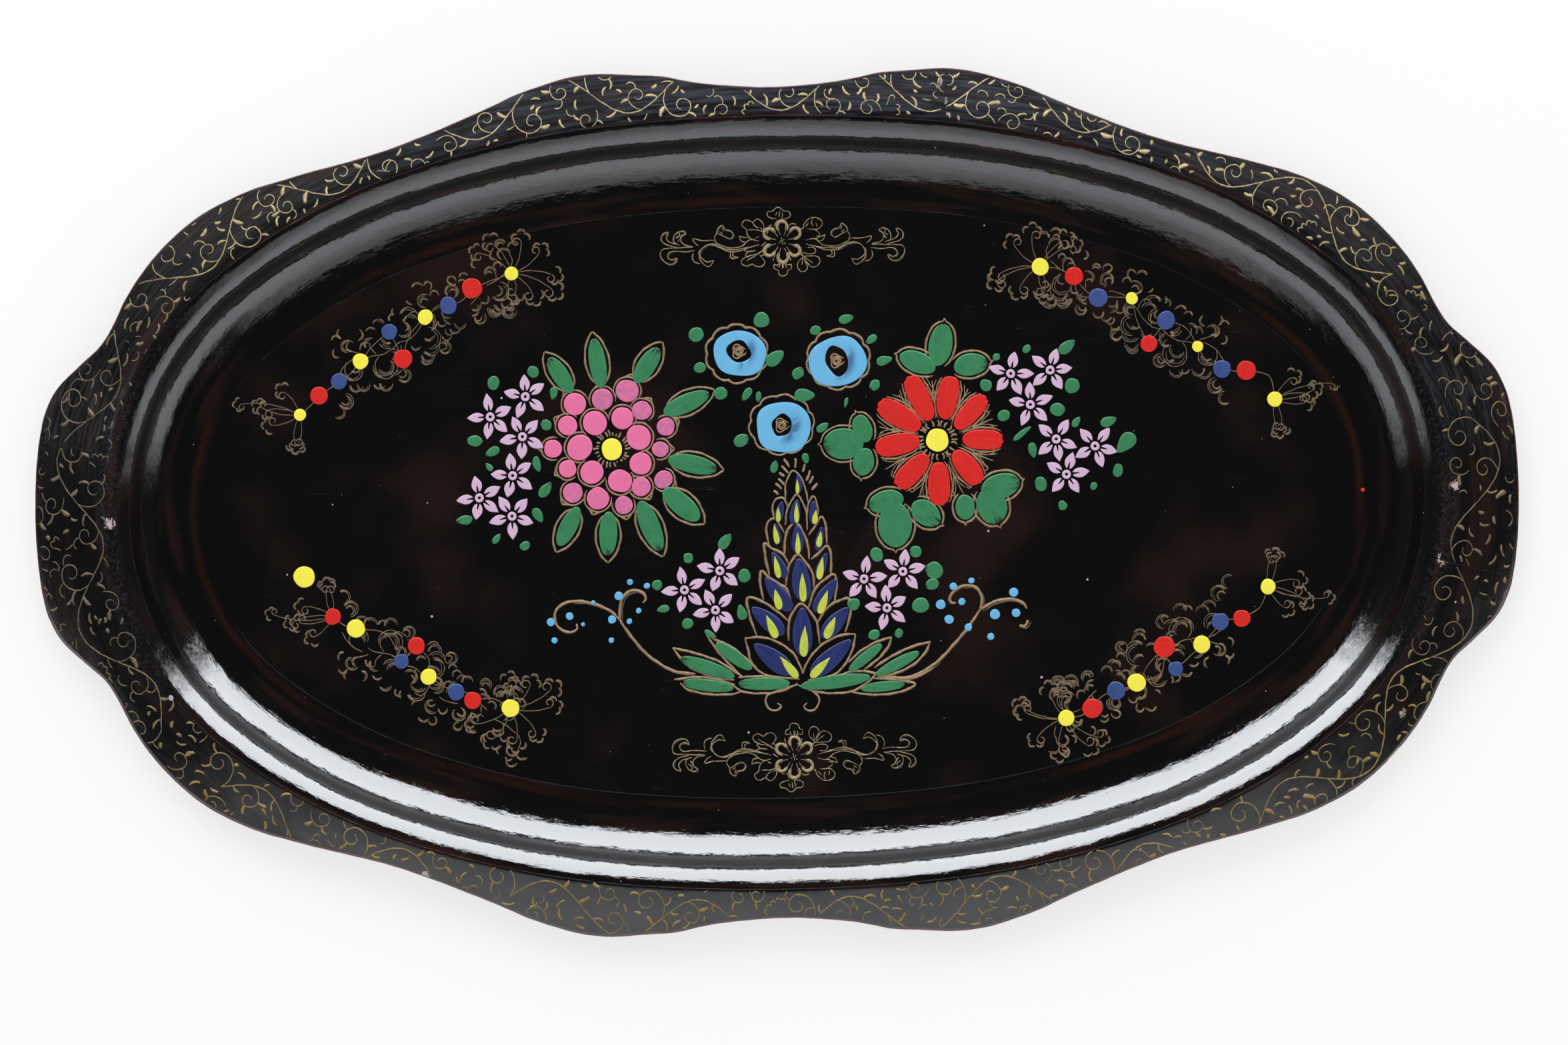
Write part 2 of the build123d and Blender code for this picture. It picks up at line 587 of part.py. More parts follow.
with BuildPart() as lilac_flowers:
    with BuildSketch(PAINT):
        for x, y, *headings in LILAC_FLOWERS:
            strokes([(x + PETAL_AT * math.cos(math.radians(h)),
                      y + PETAL_AT * math.sin(math.radians(h)),
                      PETAL_LONG, PETAL_WIDE, h) for h in headings])
            with Locations((x, y)):
                Circle(EYE_OUT)
        for x, y, *headings in LILAC_FLOWERS:
            with Locations((x, y)):
                Circle(EYE_IN, mode=Mode.SUBTRACT)
    extrude(amount=ENAMEL)

# ------------------------------------------------------- labels and files

floor_board.part.label = "floor_board"
floor_backing.part.label = "floor_backing"
floor_lining.part.label = "floor_lining"
cove_wall.part.label = "cove_wall"
cove_lining.part.label = "cove_lining"
rim_flange.part.label = "rim_flange"
wall_backing.part.label = "wall_backing"
rim_strip_upper_left.part.label = "rim_strip_upper_left"
rim_strip_upper_right.part.label = "rim_strip_upper_right"
rim_strip_lower_left.part.label = "rim_strip_lower_left"
rim_strip_lower_right.part.label = "rim_strip_lower_right"
edge_binding.part.label = "edge_binding"
yellow_dots.part.label = "yellow_dots"
red_dots.part.label = "red_dots"
red_flower_petals.part.label = "red_flower_petals"
navy_dots.part.label = "navy_dots"
lupine_petals.part.label = "lupine_petals"
lupine_highlights.part.label = "lupine_highlights"
blue_roses.part.label = "blue_roses"
blue_beads.part.label = "blue_beads"
pink_flower_beads.part.label = "pink_flower_beads"
green_leaves.part.label = "green_leaves"
lilac_flowers.part.label = "lilac_flowers"

os.makedirs("parts", exist_ok=True)
for name in (floor_board, floor_backing, floor_lining, cove_wall,
             cove_lining, rim_flange, wall_backing, rim_strip_upper_left,
             rim_strip_upper_right, rim_strip_lower_left,
             rim_strip_lower_right, edge_binding, yellow_dots, red_dots,
             red_flower_petals, navy_dots, lupine_petals,
             lupine_highlights, blue_roses, blue_beads, pink_flower_beads,
             green_leaves, lilac_flowers):
    export_step(name.part, "parts/" + name.part.label + ".step")
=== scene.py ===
import math
import random
import bpy
import numpy as np
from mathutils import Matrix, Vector


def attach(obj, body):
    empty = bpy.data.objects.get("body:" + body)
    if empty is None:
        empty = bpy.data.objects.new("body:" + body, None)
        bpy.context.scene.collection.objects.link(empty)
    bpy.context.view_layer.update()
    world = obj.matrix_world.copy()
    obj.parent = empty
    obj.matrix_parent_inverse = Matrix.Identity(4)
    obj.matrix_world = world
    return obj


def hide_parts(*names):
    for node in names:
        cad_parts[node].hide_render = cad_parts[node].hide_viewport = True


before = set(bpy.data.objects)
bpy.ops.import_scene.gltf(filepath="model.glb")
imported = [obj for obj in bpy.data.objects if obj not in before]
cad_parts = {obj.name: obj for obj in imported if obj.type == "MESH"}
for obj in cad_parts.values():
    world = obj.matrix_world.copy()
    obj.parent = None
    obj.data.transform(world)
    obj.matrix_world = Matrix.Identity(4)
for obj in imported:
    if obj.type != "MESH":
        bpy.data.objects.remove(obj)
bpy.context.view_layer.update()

rng = np.random.default_rng(417)
random.seed(417)

# ------------------------------------------------------------ the section
# Millimetres throughout, turned into metres when a mesh is made.  d is the
# distance outward from the crest line, t the depth below the upper surface,
# run the distance along the crest, counter-clockwise from the +X end.

CREST_A, CREST_B = 260.0, 150.0
CREST_TURNS = [51.48, 70.57, 85.04, 90.0]
CREST_R1, CREST_R2 = 116.9, 223.1
FLOOR_TOP = 3.51
T1, T4, T5 = 0.55, 3.01, 3.51
SEAM = 0.20
D_FLOOR, D_CREST_SEAM = -34.0, 0.6
BIND, GLUE = 0.60, 0.03
KNOTS = [(-40.0, 0.0), (-30.0, 0.0), (-21.0, 14.0), (-9.0, 64.0),
         (-1.7, 17.0), (1.8, -11.0), (8.0, -18.0), (38.0, -22.5), (48.0, -24.0)]
OUTLINE = [290.2, 290.1, 290.0, 289.6, 288.4, 284.9, 277.9, 271.2,
           268.3, 266.9, 264.9, 262.2, 259.0, 255.1, 250.3, 244.4,
           238.0, 230.8, 224.2, 217.9, 212.2, 207.4, 203.4, 200.2,
           197.4, 195.1, 193.1, 191.5, 190.2, 189.3, 188.1, 186.8,
           185.6, 184.0, 181.9, 179.3, 176.7, 174.5, 172.3, 169.5,
           167.1, 165.3, 164.0, 163.1, 162.4, 162.2]
RIM_SEAMS = [266.0, 643.0, 871.0, 1305.0]
ENAMEL = 0.34

YELLOW_DOTS = [
    (63.3, 23.4, 4.50), (-64.4, 22.0, 4.20), (-185.9, -26.0, 4.20),
    (-166.0, -46.6, 3.60), (139.8, -73.1, 3.60), (-105.9, -78.9, 3.50),
    (165.6, -58.5, 3.40), (104.8, 90.7, 3.40), (112.0, -86.5, 3.20),
    (-137.8, -66.0, 3.20), (-162.4, 58.2, 3.10), (192.0, -36.3, 3.00),
    (195.9, 37.2, 3.00), (-136.7, 75.1, 3.00), (-102.6, 91.6, 2.70),
    (140.5, 77.7, 2.40), (-186.5, 37.6, 2.40), (166.0, 58.4, 2.20),
]
RED_DOTS = [
    (150.9, -59.3, 4.20), (-118.2, 86.1, 4.00), (122.2, -82.9, 3.90),
    (184.9, 48.7, 3.80), (-145.7, 58.9, 3.70), (118.0, 86.8, 3.60),
    (-178.9, 45.0, 3.50), (-142.4, -53.8, 3.40), (181.5, -48.6, 3.40),
    (-120.7, -75.6, 3.40), (146.9, 59.8, 3.30), (-175.0, -41.8, 3.20),
    (229.8, 1.0, 0.80),
]
RED_PETALS = [
    (56.7, 39.9, 9.55, 4.43, 115), (67.6, 40.0, 8.50, 4.50, 79),
    (76.4, 34.1, 8.50, 4.10, 47), (81.1, 23.3, 8.10, 4.20, 178),
    (74.8, 12.6, 7.90, 4.50, 128), (63.7, 6.3, 8.50, 4.70, 90),
    (53.3, 11.4, 8.50, 4.50, 45), (47.7, 22.0, 8.70, 4.60, 10),
    (48.6, 33.2, 9.55, 4.73, 149),
]
NAVY_DOTS = [
    (127.3, 78.2, 3.70), (153.8, 68.9, 3.60), (131.7, -76.1, 3.60),
    (175.4, 49.4, 3.50), (-127.6, 79.5, 3.40), (173.0, -49.7, 3.40),
    (-127.1, -72.2, 3.30), (-150.9, 69.6, 3.10), (-171.0, 50.5, 3.20),
    (-148.4, -59.8, 2.90), (155.2, -67.9, 2.90),
]
LUPINE_PETALS = [
    (8.6, 7.3, 3.58, 1.67, 93), (1.0, -3.6, 4.06, 2.00, 75),
    (7.1, -3.9, 5.00, 2.47, 80), (14.2, -4.3, 4.60, 2.07, 89),
    (-0.3, -12.2, 4.09, 1.80, 101), (7.8, -14.6, 5.60, 2.87, 89),
    (16.5, -14.5, 4.78, 1.94, 77), (0.3, -24.5, 5.61, 2.67, 117),
    (17.2, -25.1, 5.33, 2.20, 69), (8.9, -30.5, 8.57, 4.34, 96),
    (-0.2, -36.0, 8.21, 3.74, 127), (18.3, -36.8, 7.64, 3.34, 56),
    (-4.4, -46.3, 8.18, 4.00, 140), (9.1, -50.9, 9.51, 4.60, 90),
    (22.0, -47.6, 7.82, 3.87, 49), (-2.6, -61.3, 9.17, 4.54, 142),
    (20.2, -61.4, 10.63, 4.34, 41),
]
LUPINE_HIGHLIGHTS = [
    (8.1, 6.1, 2.77, 0.84, 90), (0.4, -4.7, 2.90, 1.02, 91),
    (7.6, -4.1, 3.90, 1.08, 90), (14.9, -5.9, 2.69, 1.26, 82),
    (-0.7, -12.5, 3.73, 1.26, 99), (7.9, -16.1, 4.10, 1.20, 90),
    (16.5, -14.7, 2.97, 1.26, 80), (-0.5, -25.3, 4.25, 1.38, 100),
    (16.7, -26.1, 4.32, 1.50, 80), (9.5, -33.5, 5.51, 1.62, 91),
    (-0.5, -38.0, 4.01, 1.68, 102), (17.6, -39.4, 4.65, 1.74, 70),
    (-3.0, -48.7, 4.71, 1.86, 113), (9.7, -54.7, 5.81, 1.92, 86),
    (20.1, -49.5, 4.50, 1.86, 65), (3.6, -64.7, 5.25, 1.80, 129),
    (15.9, -65.0, 5.17, 1.86, 45),
]
BLUE_ROSES = [
    (-13.6, 58.7, 10.41, 8.81, 171, -14.0, 59.5, 5.00, 4.20, 159),
    (24.7, 54.9, 11.41, 9.61, 9, 24.4, 55.2, 6.11, 4.40, 97),
    (3.0, 29.5, 10.71, 10.01, 179, 2.4, 30.3, 4.60, 3.80, 69),
]
BLUE_BEADS = [
    (84.7, -45.3, 2.00), (63.5, -41.1, 1.90), (92.2, -36.8, 1.80),
    (66.7, -47.0, 1.80), (-62.7, -35.6, 1.70), (93.0, -44.9, 1.70),
    (-89.5, -45.4, 1.60), (-65.5, -44.8, 1.60), (68.6, -34.1, 1.50),
    (74.2, -50.2, 1.50), (-82.1, -43.2, 1.50), (71.8, -40.1, 1.40),
    (82.9, -54.0, 1.40), (75.7, -31.9, 1.20), (-51.6, -31.8, 1.20),
    (-88.2, -52.6, 1.20), (-58.2, -30.2, 1.20), (-65.9, -52.9, 1.10),
    (-58.7, -45.6, 1.10), (-55.0, -41.5, 1.10), (-72.8, -38.0, 0.90),
    (-76.9, -46.5, 0.80),
]
PINK_BEADS = [
    (-78.6, 40.0, 4.39), (-81.6, 31.6, 3.83), (-67.8, 41.7, 4.20),
    (-70.9, 32.4, 4.76), (-58.0, 44.8, 4.48), (-60.1, 34.1, 4.35),
    (-52.4, 37.0, 3.81), (-53.8, 26.5, 4.86), (-43.1, 30.5, 3.55),
    (-45.4, 21.7, 3.18), (-53.2, 16.2, 4.39), (-44.4, 9.8, 3.59),
    (-77.0, 22.9, 5.04), (-87.5, 22.6, 3.55), (-81.9, 14.6, 3.46),
    (-72.4, 13.1, 4.58), (-80.0, 5.2, 3.92), (-70.2, 2.8, 4.39),
    (-61.4, 9.5, 4.62), (-53.2, 7.1, 3.78), (-60.1, -0.0, 3.55),
]
LONG_LEAVES = [
    (-49.9, -8.3, 10.00, 3.70, 111), (-37.5, -0.1, 8.80, 3.90, 138),
    (-32.9, 15.6, 9.40, 3.40, 167), (-35.0, 39.5, 9.30, 3.40, 23),
    (-69.4, 55.8, 9.40, 3.20, 98), (-66.4, -11.1, 8.30, 3.40, 87),
    (-50.1, 54.7, 7.80, 3.40, 55), (-81.9, -8.0, 8.10, 3.20, 62),
    (-84.1, 51.4, 7.90, 3.10, 123), (21.7, -70.7, 13.40, 2.50, 7),
    (-28.4, -64.3, 10.80, 2.60, 160), (-6.3, -71.0, 9.70, 2.40, 0),
    (-28.3, -71.3, 9.60, 2.30, 173), (-18.0, -60.0, 8.40, 2.40, 143),
    (46.2, -64.0, 9.20, 2.10, 27), (40.3, -72.9, 8.50, 1.90, 5),
    (33.6, -61.4, 8.00, 2.00, 38),
]
CLOVER_LOBES = [
    (65.2, 60.7, 8.29, 4.68, 79), (56.1, 54.1, 7.57, 4.05, 157),
    (76.8, 52.8, 6.76, 4.32, 7), (26.5, 22.6, 7.93, 6.13, 179),
    (34.0, 28.4, 5.58, 3.78, 109), (34.3, 15.3, 5.40, 4.14, 79),
    (42.8, -0.4, 6.85, 4.50, 14), (46.2, -9.7, 8.65, 6.67, 89),
    (58.3, -5.2, 6.49, 4.68, 141), (87.7, 4.9, 7.66, 4.95, 14),
    (84.2, -2.7, 7.21, 5.95, 109), (73.7, -3.1, 4.95, 3.78, 89),
]
GREEN_DABS = [
    (0.2, 56.7, 3.59, 2.62, 36), (137.2, 21.1, 4.17, 3.01, 47),
    (-4.9, 71.7, 3.10, 2.72, 13), (11.5, 41.9, 3.49, 2.52, 179),
    (116.5, 43.8, 2.91, 2.72, 46), (55.6, -41.3, 3.30, 2.72, 14),
    (114.8, 59.2, 3.34, 2.20, 38), (-30.6, 66.4, 2.91, 2.62, 35),
    (-20.6, -14.9, 3.01, 2.19, 49), (38.7, -21.1, 2.62, 2.42, 104),
    (-13.6, 24.6, 2.91, 2.33, 16), (110.6, 34.6, 2.91, 2.33, 164),
    (-21.3, 43.2, 2.52, 2.33, 18), (-13.3, -28.5, 2.52, 2.33, 96),
    (-118.1, 26.2, 2.72, 2.13, 178), (103.6, 5.5, 2.72, 2.23, 104),
    (-90.7, 6.6, 3.01, 2.04, 49), (-110.4, 48.8, 2.62, 2.23, 80),
    (54.0, -20.2, 2.26, 2.16, 160), (29.4, -40.4, 2.35, 2.26, 176),
    (9.1, 50.6, 2.33, 2.13, 55), (-93.9, 16.6, 2.62, 1.61, 102),
    (89.5, 32.6, 2.42, 2.04, 19), (-94.8, 52.9, 2.23, 2.13, 97),
    (82.7, 44.6, 2.33, 2.13, 131), (-93.8, -3.4, 2.72, 1.84, 119),
    (133.9, 10.3, 2.42, 1.94, 83), (-122.8, -4.8, 2.81, 1.84, 5),
    (130.6, 29.6, 2.91, 1.94, 21), (-29.4, 53.4, 2.33, 1.94, 18),
    (28.4, 71.6, 2.62, 1.75, 16), (-111.3, 21.8, 2.62, 1.75, 26),
    (43.0, 55.0, 2.72, 1.84, 17), (100.6, 18.8, 2.52, 1.75, 103),
    (-14.6, -42.9, 2.62, 1.94, 104), (39.1, 45.4, 2.23, 1.84, 51),
    (37.2, -52.5, 2.23, 1.84, 9), (-35.9, -46.9, 2.13, 1.94, 21),
    (-90.0, 32.0, 2.13, 1.94, 126), (-11.2, 42.6, 2.62, 1.55, 56),
    (96.6, 25.5, 3.69, 1.16, 36), (-47.6, -31.6, 1.94, 1.94, 85),
    (18.4, 29.2, 2.33, 1.55, 30), (-35.2, -21.2, 1.94, 1.84, 82),
    (16.2, 67.3, 2.04, 1.75, 37), (-86.9, 44.3, 2.23, 1.55, 77),
    (-0.8, 14.1, 2.13, 1.55, 77), (-45.4, -41.0, 2.13, 1.46, 11),
    (-99.1, -15.3, 2.04, 1.65, 16), (38.0, 63.3, 2.13, 1.55, 34),
    (46.9, -52.1, 1.75, 1.55, 52), (112.0, -3.1, 1.75, 1.65, 102),
    (117.9, 29.6, 2.04, 1.36, 52), (11.5, 17.1, 1.84, 1.36, 103),
    (-110.2, -12.3, 2.04, 1.26, 50), (-26.9, -51.3, 2.41, 1.11, 144),
    (98.9, 58.6, 1.75, 1.36, 43), (-6.6, 41.5, 1.84, 1.16, 82),
    (87.0, 55.6, 1.55, 1.26, 5), (124.3, 4.3, 1.55, 1.26, 62),
    (-112.7, 15.9, 1.65, 1.16, 133), (27.7, 38.7, 1.75, 0.78, 76),
    (61.2, -27.7, 3.30, 3.18, 179), (60.3, -33.1, 2.52, 2.04, 14),
]
LILAC_FLOWERS = [
    (-98, 43.2, 92, 34, -38, -112, 166),
    (-111.9, 35.5, 98, 24, -42, -99, 182),
    (-99.4, 27.5, 116, 46, -28, -93, 191),
    (-103.5, 12.3, 97, 34, -35, -105, 175),
    (-116.7, 3.8, 101, 27, -38, -100, 186),
    (-104, -3.6, 123, 48, -19, -89, 195),
    (-22.9, -26.4, 90, 33, -40, -111, 167),
    (-36.9, -33.7, 100, 26, -41, -103, 183),
    (-24.9, -41.8, 116, 43, -36, -90, 191),
    (48.9, -27.9, 82, 13, -51, -134, 148),
    (33.6, -30.6, 81, 7, -58, -130, 162),
    (42.4, -42.1, 93, 29, -38, -106, 175), (92.5, 49, 79, -1, -65, -130, 162),
    (108, 50.1, 72, 5, -59, -139, 141), (100, 36.7, 91, 20, -45, -114, 167),
    (109.9, 23, 57, -23, -82, 220, 140), (125.1, 20, 50, -16, -71, 209, 130),
    (113.7, 9.1, 73, 7, -56, -130, 149),
]

# gold lines, in mm in plan
GOLD_LUPINE = \
    [[(3.4, 0.5), (3.4, 6.5), (4.6, 10.1), (6.3, 12.3), (8.6, 11.0), (10.9, 6.3), (12.2,
    -0.0)], [(-1.2, -6.8), (-1.8, -2.1), (-0.6, 1.2), (2.1, 1.8), (3.4, 0.3), (4.2, -1.9)],
    [(3.1, -8.9), (3.9, -2.9), (6.1, 1.1), (7.8, 3.2), (10.1, -0.3), (11.5, -4.4), (11.6,
    -11.0)], [(11.9, -4.4), (12.4, -0.4), (14.3, 2.3), (15.7, -1.1), (16.0, -5.1)], [(-3.3,
    -16.8), (-4.4, -11.4), (-3.6, -7.4), (-1.0, -6.3), (0.9, -8.8), (2.5, -11.9)], [(2.4,
    -21.5), (3.2, -12.9), (5.6, -8.9), (7.6, -8.3), (9.9, -11.7), (11.8, -17.0), (12.2,
    -22.4)], [(12.2, -13.0), (14.6, -9.7), (17.3, -5.8), (18.9, -9.2), (19.2, -16.5)], [(-3.4,
    -28.8), (-4.8, -22.1), (-5.2, -15.9), (-2.2, -18.1), (1.7, -20.1), (4.0, -23.9)], [(12.9,
    -22.5), (16.4, -19.8), (19.3, -17.2), (20.8, -21.2), (20.6, -28.5)], [(2.9, -32.9), (3.6,
    -26.9), (5.4, -22.9), (8.1, -20.6), (11.7, -25.0), (13.6, -28.4), (13.9, -33.8)], [(-5.9,
    -38.1), (-7.1, -32.1), (-6.7, -26.7), (-3.8, -29.3), (0.2, -31.9), (3.2, -34.2), (5.4,
    -41.0)], [(11.7, -41.4), (14.2, -34.4), (18.2, -30.5), (21.9, -28.6), (22.8, -32.6), (21.8,
    -39.9)], [(-8.8, -52.1), (-11.2, -45.3), (-12.3, -37.3), (-6.6, -38.7), (-1.3, -42.2),
    (3.6, -46.4)], [(3.5, -54.3), (3.9, -46.9), (6.0, -42.3), (9.1, -39.9), (12.7, -43.7),
    (14.9, -47.8), (15.8, -55.8)], [(14.9, -47.5), (18.7, -41.9), (22.8, -39.3), (27.6, -38.3),
    (28.0, -44.0), (25.9, -51.3)], [(-13.6, -53.0), (-6.8, -52.8), (-0.9, -54.7), (5.1, -59.0),
    (8.0, -64.4), (8.9, -67.4)], [(-13.4, -53.0), (-12.4, -57.3), (-11.0, -62.7), (-7.1,
    -66.8), (-1.8, -68.5), (4.9, -69.0)], [(29.9, -52.1), (23.9, -52.6), (17.1, -55.8), (12.4,
    -60.4), (10.0, -64.4), (8.9, -67.4)], [(29.9, -52.2), (28.8, -57.4), (26.4, -62.7), (22.3,
    -67.3), (17.6, -68.9), (10.9, -69.7)], [(-28.8, -51.0), (-24.3, -57.8), (-19.7, -63.2),
    (-15.1, -68.0)], [(-28.7, -51.2), (-24.2, -53.8), (-19.6, -55.9), (-14.3, -60.0), (-9.7,
    -64.7)], [(-41.9, -56.3), (-33.0, -58.6), (-24.3, -61.8), (-19.1, -65.2), (-14.4, -68.3)],
    [(-41.9, -56.3), (-39.6, -59.5), (-35.7, -63.6), (-30.4, -66.4), (-24.5, -68.5), (-17.8,
    -69.3)], [(-41.5, -68.8), (-32.5, -68.0), (-24.5, -69.1), (-17.8, -71.3)], [(-39.2, -70.2),
    (-35.9, -72.9), (-27.9, -74.8), (-19.2, -74.9), (-15.2, -74.0)], [(-19.8, -70.6), (-14.5,
    -74.0), (-7.2, -74.8), (-0.5, -74.2), (4.2, -72.6), (6.9, -71.0)], [(-16.4, -68.3), (-7.1,
    -68.1), (2.2, -68.9), (7.6, -69.4)], [(6.9, -71.7), (12.8, -74.1), (19.5, -75.2), (27.5,
    -74.7), (32.9, -72.1), (36.9, -68.9), (37.3, -67.5)], [(26.8, -74.7), (35.5, -76.0), (44.2,
    -75.7), (50.9, -73.8), (52.6, -71.8), (44.9, -70.3), (35.6, -69.5)], [(59.2, -55.6), (51.1,
    -57.8), (43.1, -61.6), (37.0, -65.5)], [(59.2, -55.6), (57.1, -59.9), (52.4, -64.5), (45.6,
    -67.7), (38.3, -69.2)], [(44.0, -53.6), (37.8, -55.5), (31.1, -59.4), (27.0, -63.3)],
    [(44.0, -53.6), (42.5, -57.6), (38.4, -62.2), (33.0, -66.1)], [(60.2, -65.9), (55.6,
    -68.5), (50.9, -69.8), (42.3, -69.3), (35.6, -67.2), (29.0, -66.7), (22.3, -68.3)], [(6.9,
    -71.7), (2.2, -72.8), (-1.9, -74.2), (-5.2, -75.8), (-5.8, -78.5), (-4.0, -81.2), (-1.3,
    -81.5), (0.2, -79.9), (-1.3, -78.7)], [(6.9, -71.7), (10.2, -72.9), (12.8, -74.4), (14.8,
    -76.2), (15.1, -78.8), (13.4, -81.5), (10.4, -81.7), (9.1, -80.1), (10.5, -78.9)]]

GOLD_LUPINE_DASHES = \
    [[(2.9, 17.0), (5.1, 13.8)], [(7.5, 17.2), (7.3, 13.4)], [(11.2, 15.0), (10.1, 11.8)],
    [(2.0, 14.4), (4.6, 11.4)], [(1.0, 11.7), (3.1, 10.2)], [(0.6, 9.4), (2.9, 6.8)], [(-0.5,
    7.5), (1.9, 5.2)], [(-1.2, 4.7), (0.6, 3.0)], [(13.1, 12.4), (11.6, 8.3)], [(14.4, 10.1),
    (12.6, 7.2)], [(16.0, 7.2), (13.5, 4.8)]]

GOLD_CURLS = \
    [[(-33.3, -66.6), (-41.1, -65.6), (-47.1, -62.5), (-53.0, -57.8), (-58.9, -50.5), (-62.4,
    -45.1)], [(-62.4, -45.1), (-65.4, -42.0), (-70.7, -39.2), (-76.7, -37.6), (-81.5, -37.5),
    (-85.7, -39.0), (-87.9, -42.2), (-87.6, -45.8), (-85.3, -48.6), (-81.7, -49.5), (-79.3,
    -48.4), (-79.5, -46.3)], [(-62.4, -45.1), (-62.3, -40.3), (-61.1, -36.1), (-58.6, -34.0),
    (-55.6, -33.5), (-52.9, -35.0), (-52.1, -37.1), (-53.3, -38.5)], [(38.0, -69.0), (44.3,
    -69.4), (50.3, -69.5), (56.3, -67.2), (62.4, -63.1), (67.3, -58.1), (71.0, -54.0), (74.1,
    -50.4), (76.5, -46.9), (79.0, -43.3)], [(79.0, -43.3), (79.7, -39.1), (78.5, -35.8), (75.5,
    -33.9), (71.9, -34.2), (68.9, -35.9), (67.0, -38.9), (67.9, -40.7), (69.4, -40.4)], [(79.0,
    -43.3), (83.8, -40.7), (88.1, -39.6), (92.3, -39.6), (95.8, -41.2), (97.3, -43.3)], [(97.8,
    -47.8), (96.3, -50.2), (94.2, -49.9)]]

GOLD_CART_HALF = \
    [[(-9.11, 0.98), (-13.31, 2.24), (-17.52, 3.5), (-21.72, 3.29), (-25.22, 1.54), (-28.73,
    0.7), (-31.53, 2.24), (-32.51, 5.04), (-32.23, 6.8), (-30.13, 8.9), (-28.38, 9.11),
    (-26.98, 6.87)], [(-10.51, 1.54), (-16.12, 2.52), (-18.92, 2.8), (-22.42, 2.52), (-25.92,
    0.7), (-29.08, 0.56)], [(-26.98, 6.87), (-29.43, 7.43), (-31.39, 6.31), (-32.79, 4.34),
    (-32.23, 2.59)], [(-35.03, 3.78), (-35.38, 5.75), (-34.33, 7.5), (-32.23, 8.2)], [(-26.98,
    -0.98), (-31.53, -0.98), (-35.03, -1.68), (-34.33, 0.0), (-32.79, 0.98)], [(-26.98, -0.98),
    (-24.52, 0.84), (-20.32, 2.1), (-16.12, 1.54), (-12.61, -0.91), (-9.11, -0.42)], [(-34.33,
    2.94), (-38.54, 3.36), (-43.09, 3.08), (-44.84, 4.2), (-44.84, 5.75), (-43.09, 6.45),
    (-41.34, 5.75), (-42.39, 7.71), (-44.84, 7.99), (-46.94, 6.59), (-47.93, 4.48), (-46.94,
    2.24), (-42.74, 1.82)], [(-42.74, 1.82), (-39.24, 1.68), (-35.03, 1.54)], [(-41.34, 1.4),
    (-44.84, 0.7), (-46.94, -0.56), (-47.51, -2.31), (-46.59, -3.92), (-44.7, -4.41), (-45.54,
    -2.31), (-44.14, -0.56), (-41.34, 0.49)], [(-40.29, 0.84), (-42.39, -0.42), (-42.46,
    -2.66), (-41.34, -4.2), (-39.24, -4.76), (-37.84, -3.92), (-39.59, -2.8), (-39.94, -1.26),
    (-38.54, 0.49), (-35.03, 1.4)], [(-41.69, -1.96), (-40.29, -3.01), (-40.5, -4.2)],
    [(-40.99, -0.56), (-38.89, -3.5)], [(-25.92, -0.56), (-26.63, -1.96), (-25.57, -3.71),
    (-25.22, -5.47), (-23.47, -6.87), (-22.42, -5.11), (-20.32, -4.62), (-19.13, -3.01),
    (-20.32, -1.61), (-22.07, -1.96), (-23.82, -3.01), (-25.22, -3.71)], [(-24.52, -4.41),
    (-23.12, -3.5)], [(-23.47, -5.82), (-22.98, -4.41)], [(-20.32, 3.64), (-20.32, 5.89),
    (-18.57, 6.31), (-17.17, 5.61)], [(-19.06, 3.78), (-19.48, 5.18), (-17.52, 6.17)],
    [(-16.82, -2.52), (-15.06, -1.82), (-13.31, -1.96)], [(-16.82, -2.52), (-16.12, -0.56),
    (-14.01, 0.0)]]

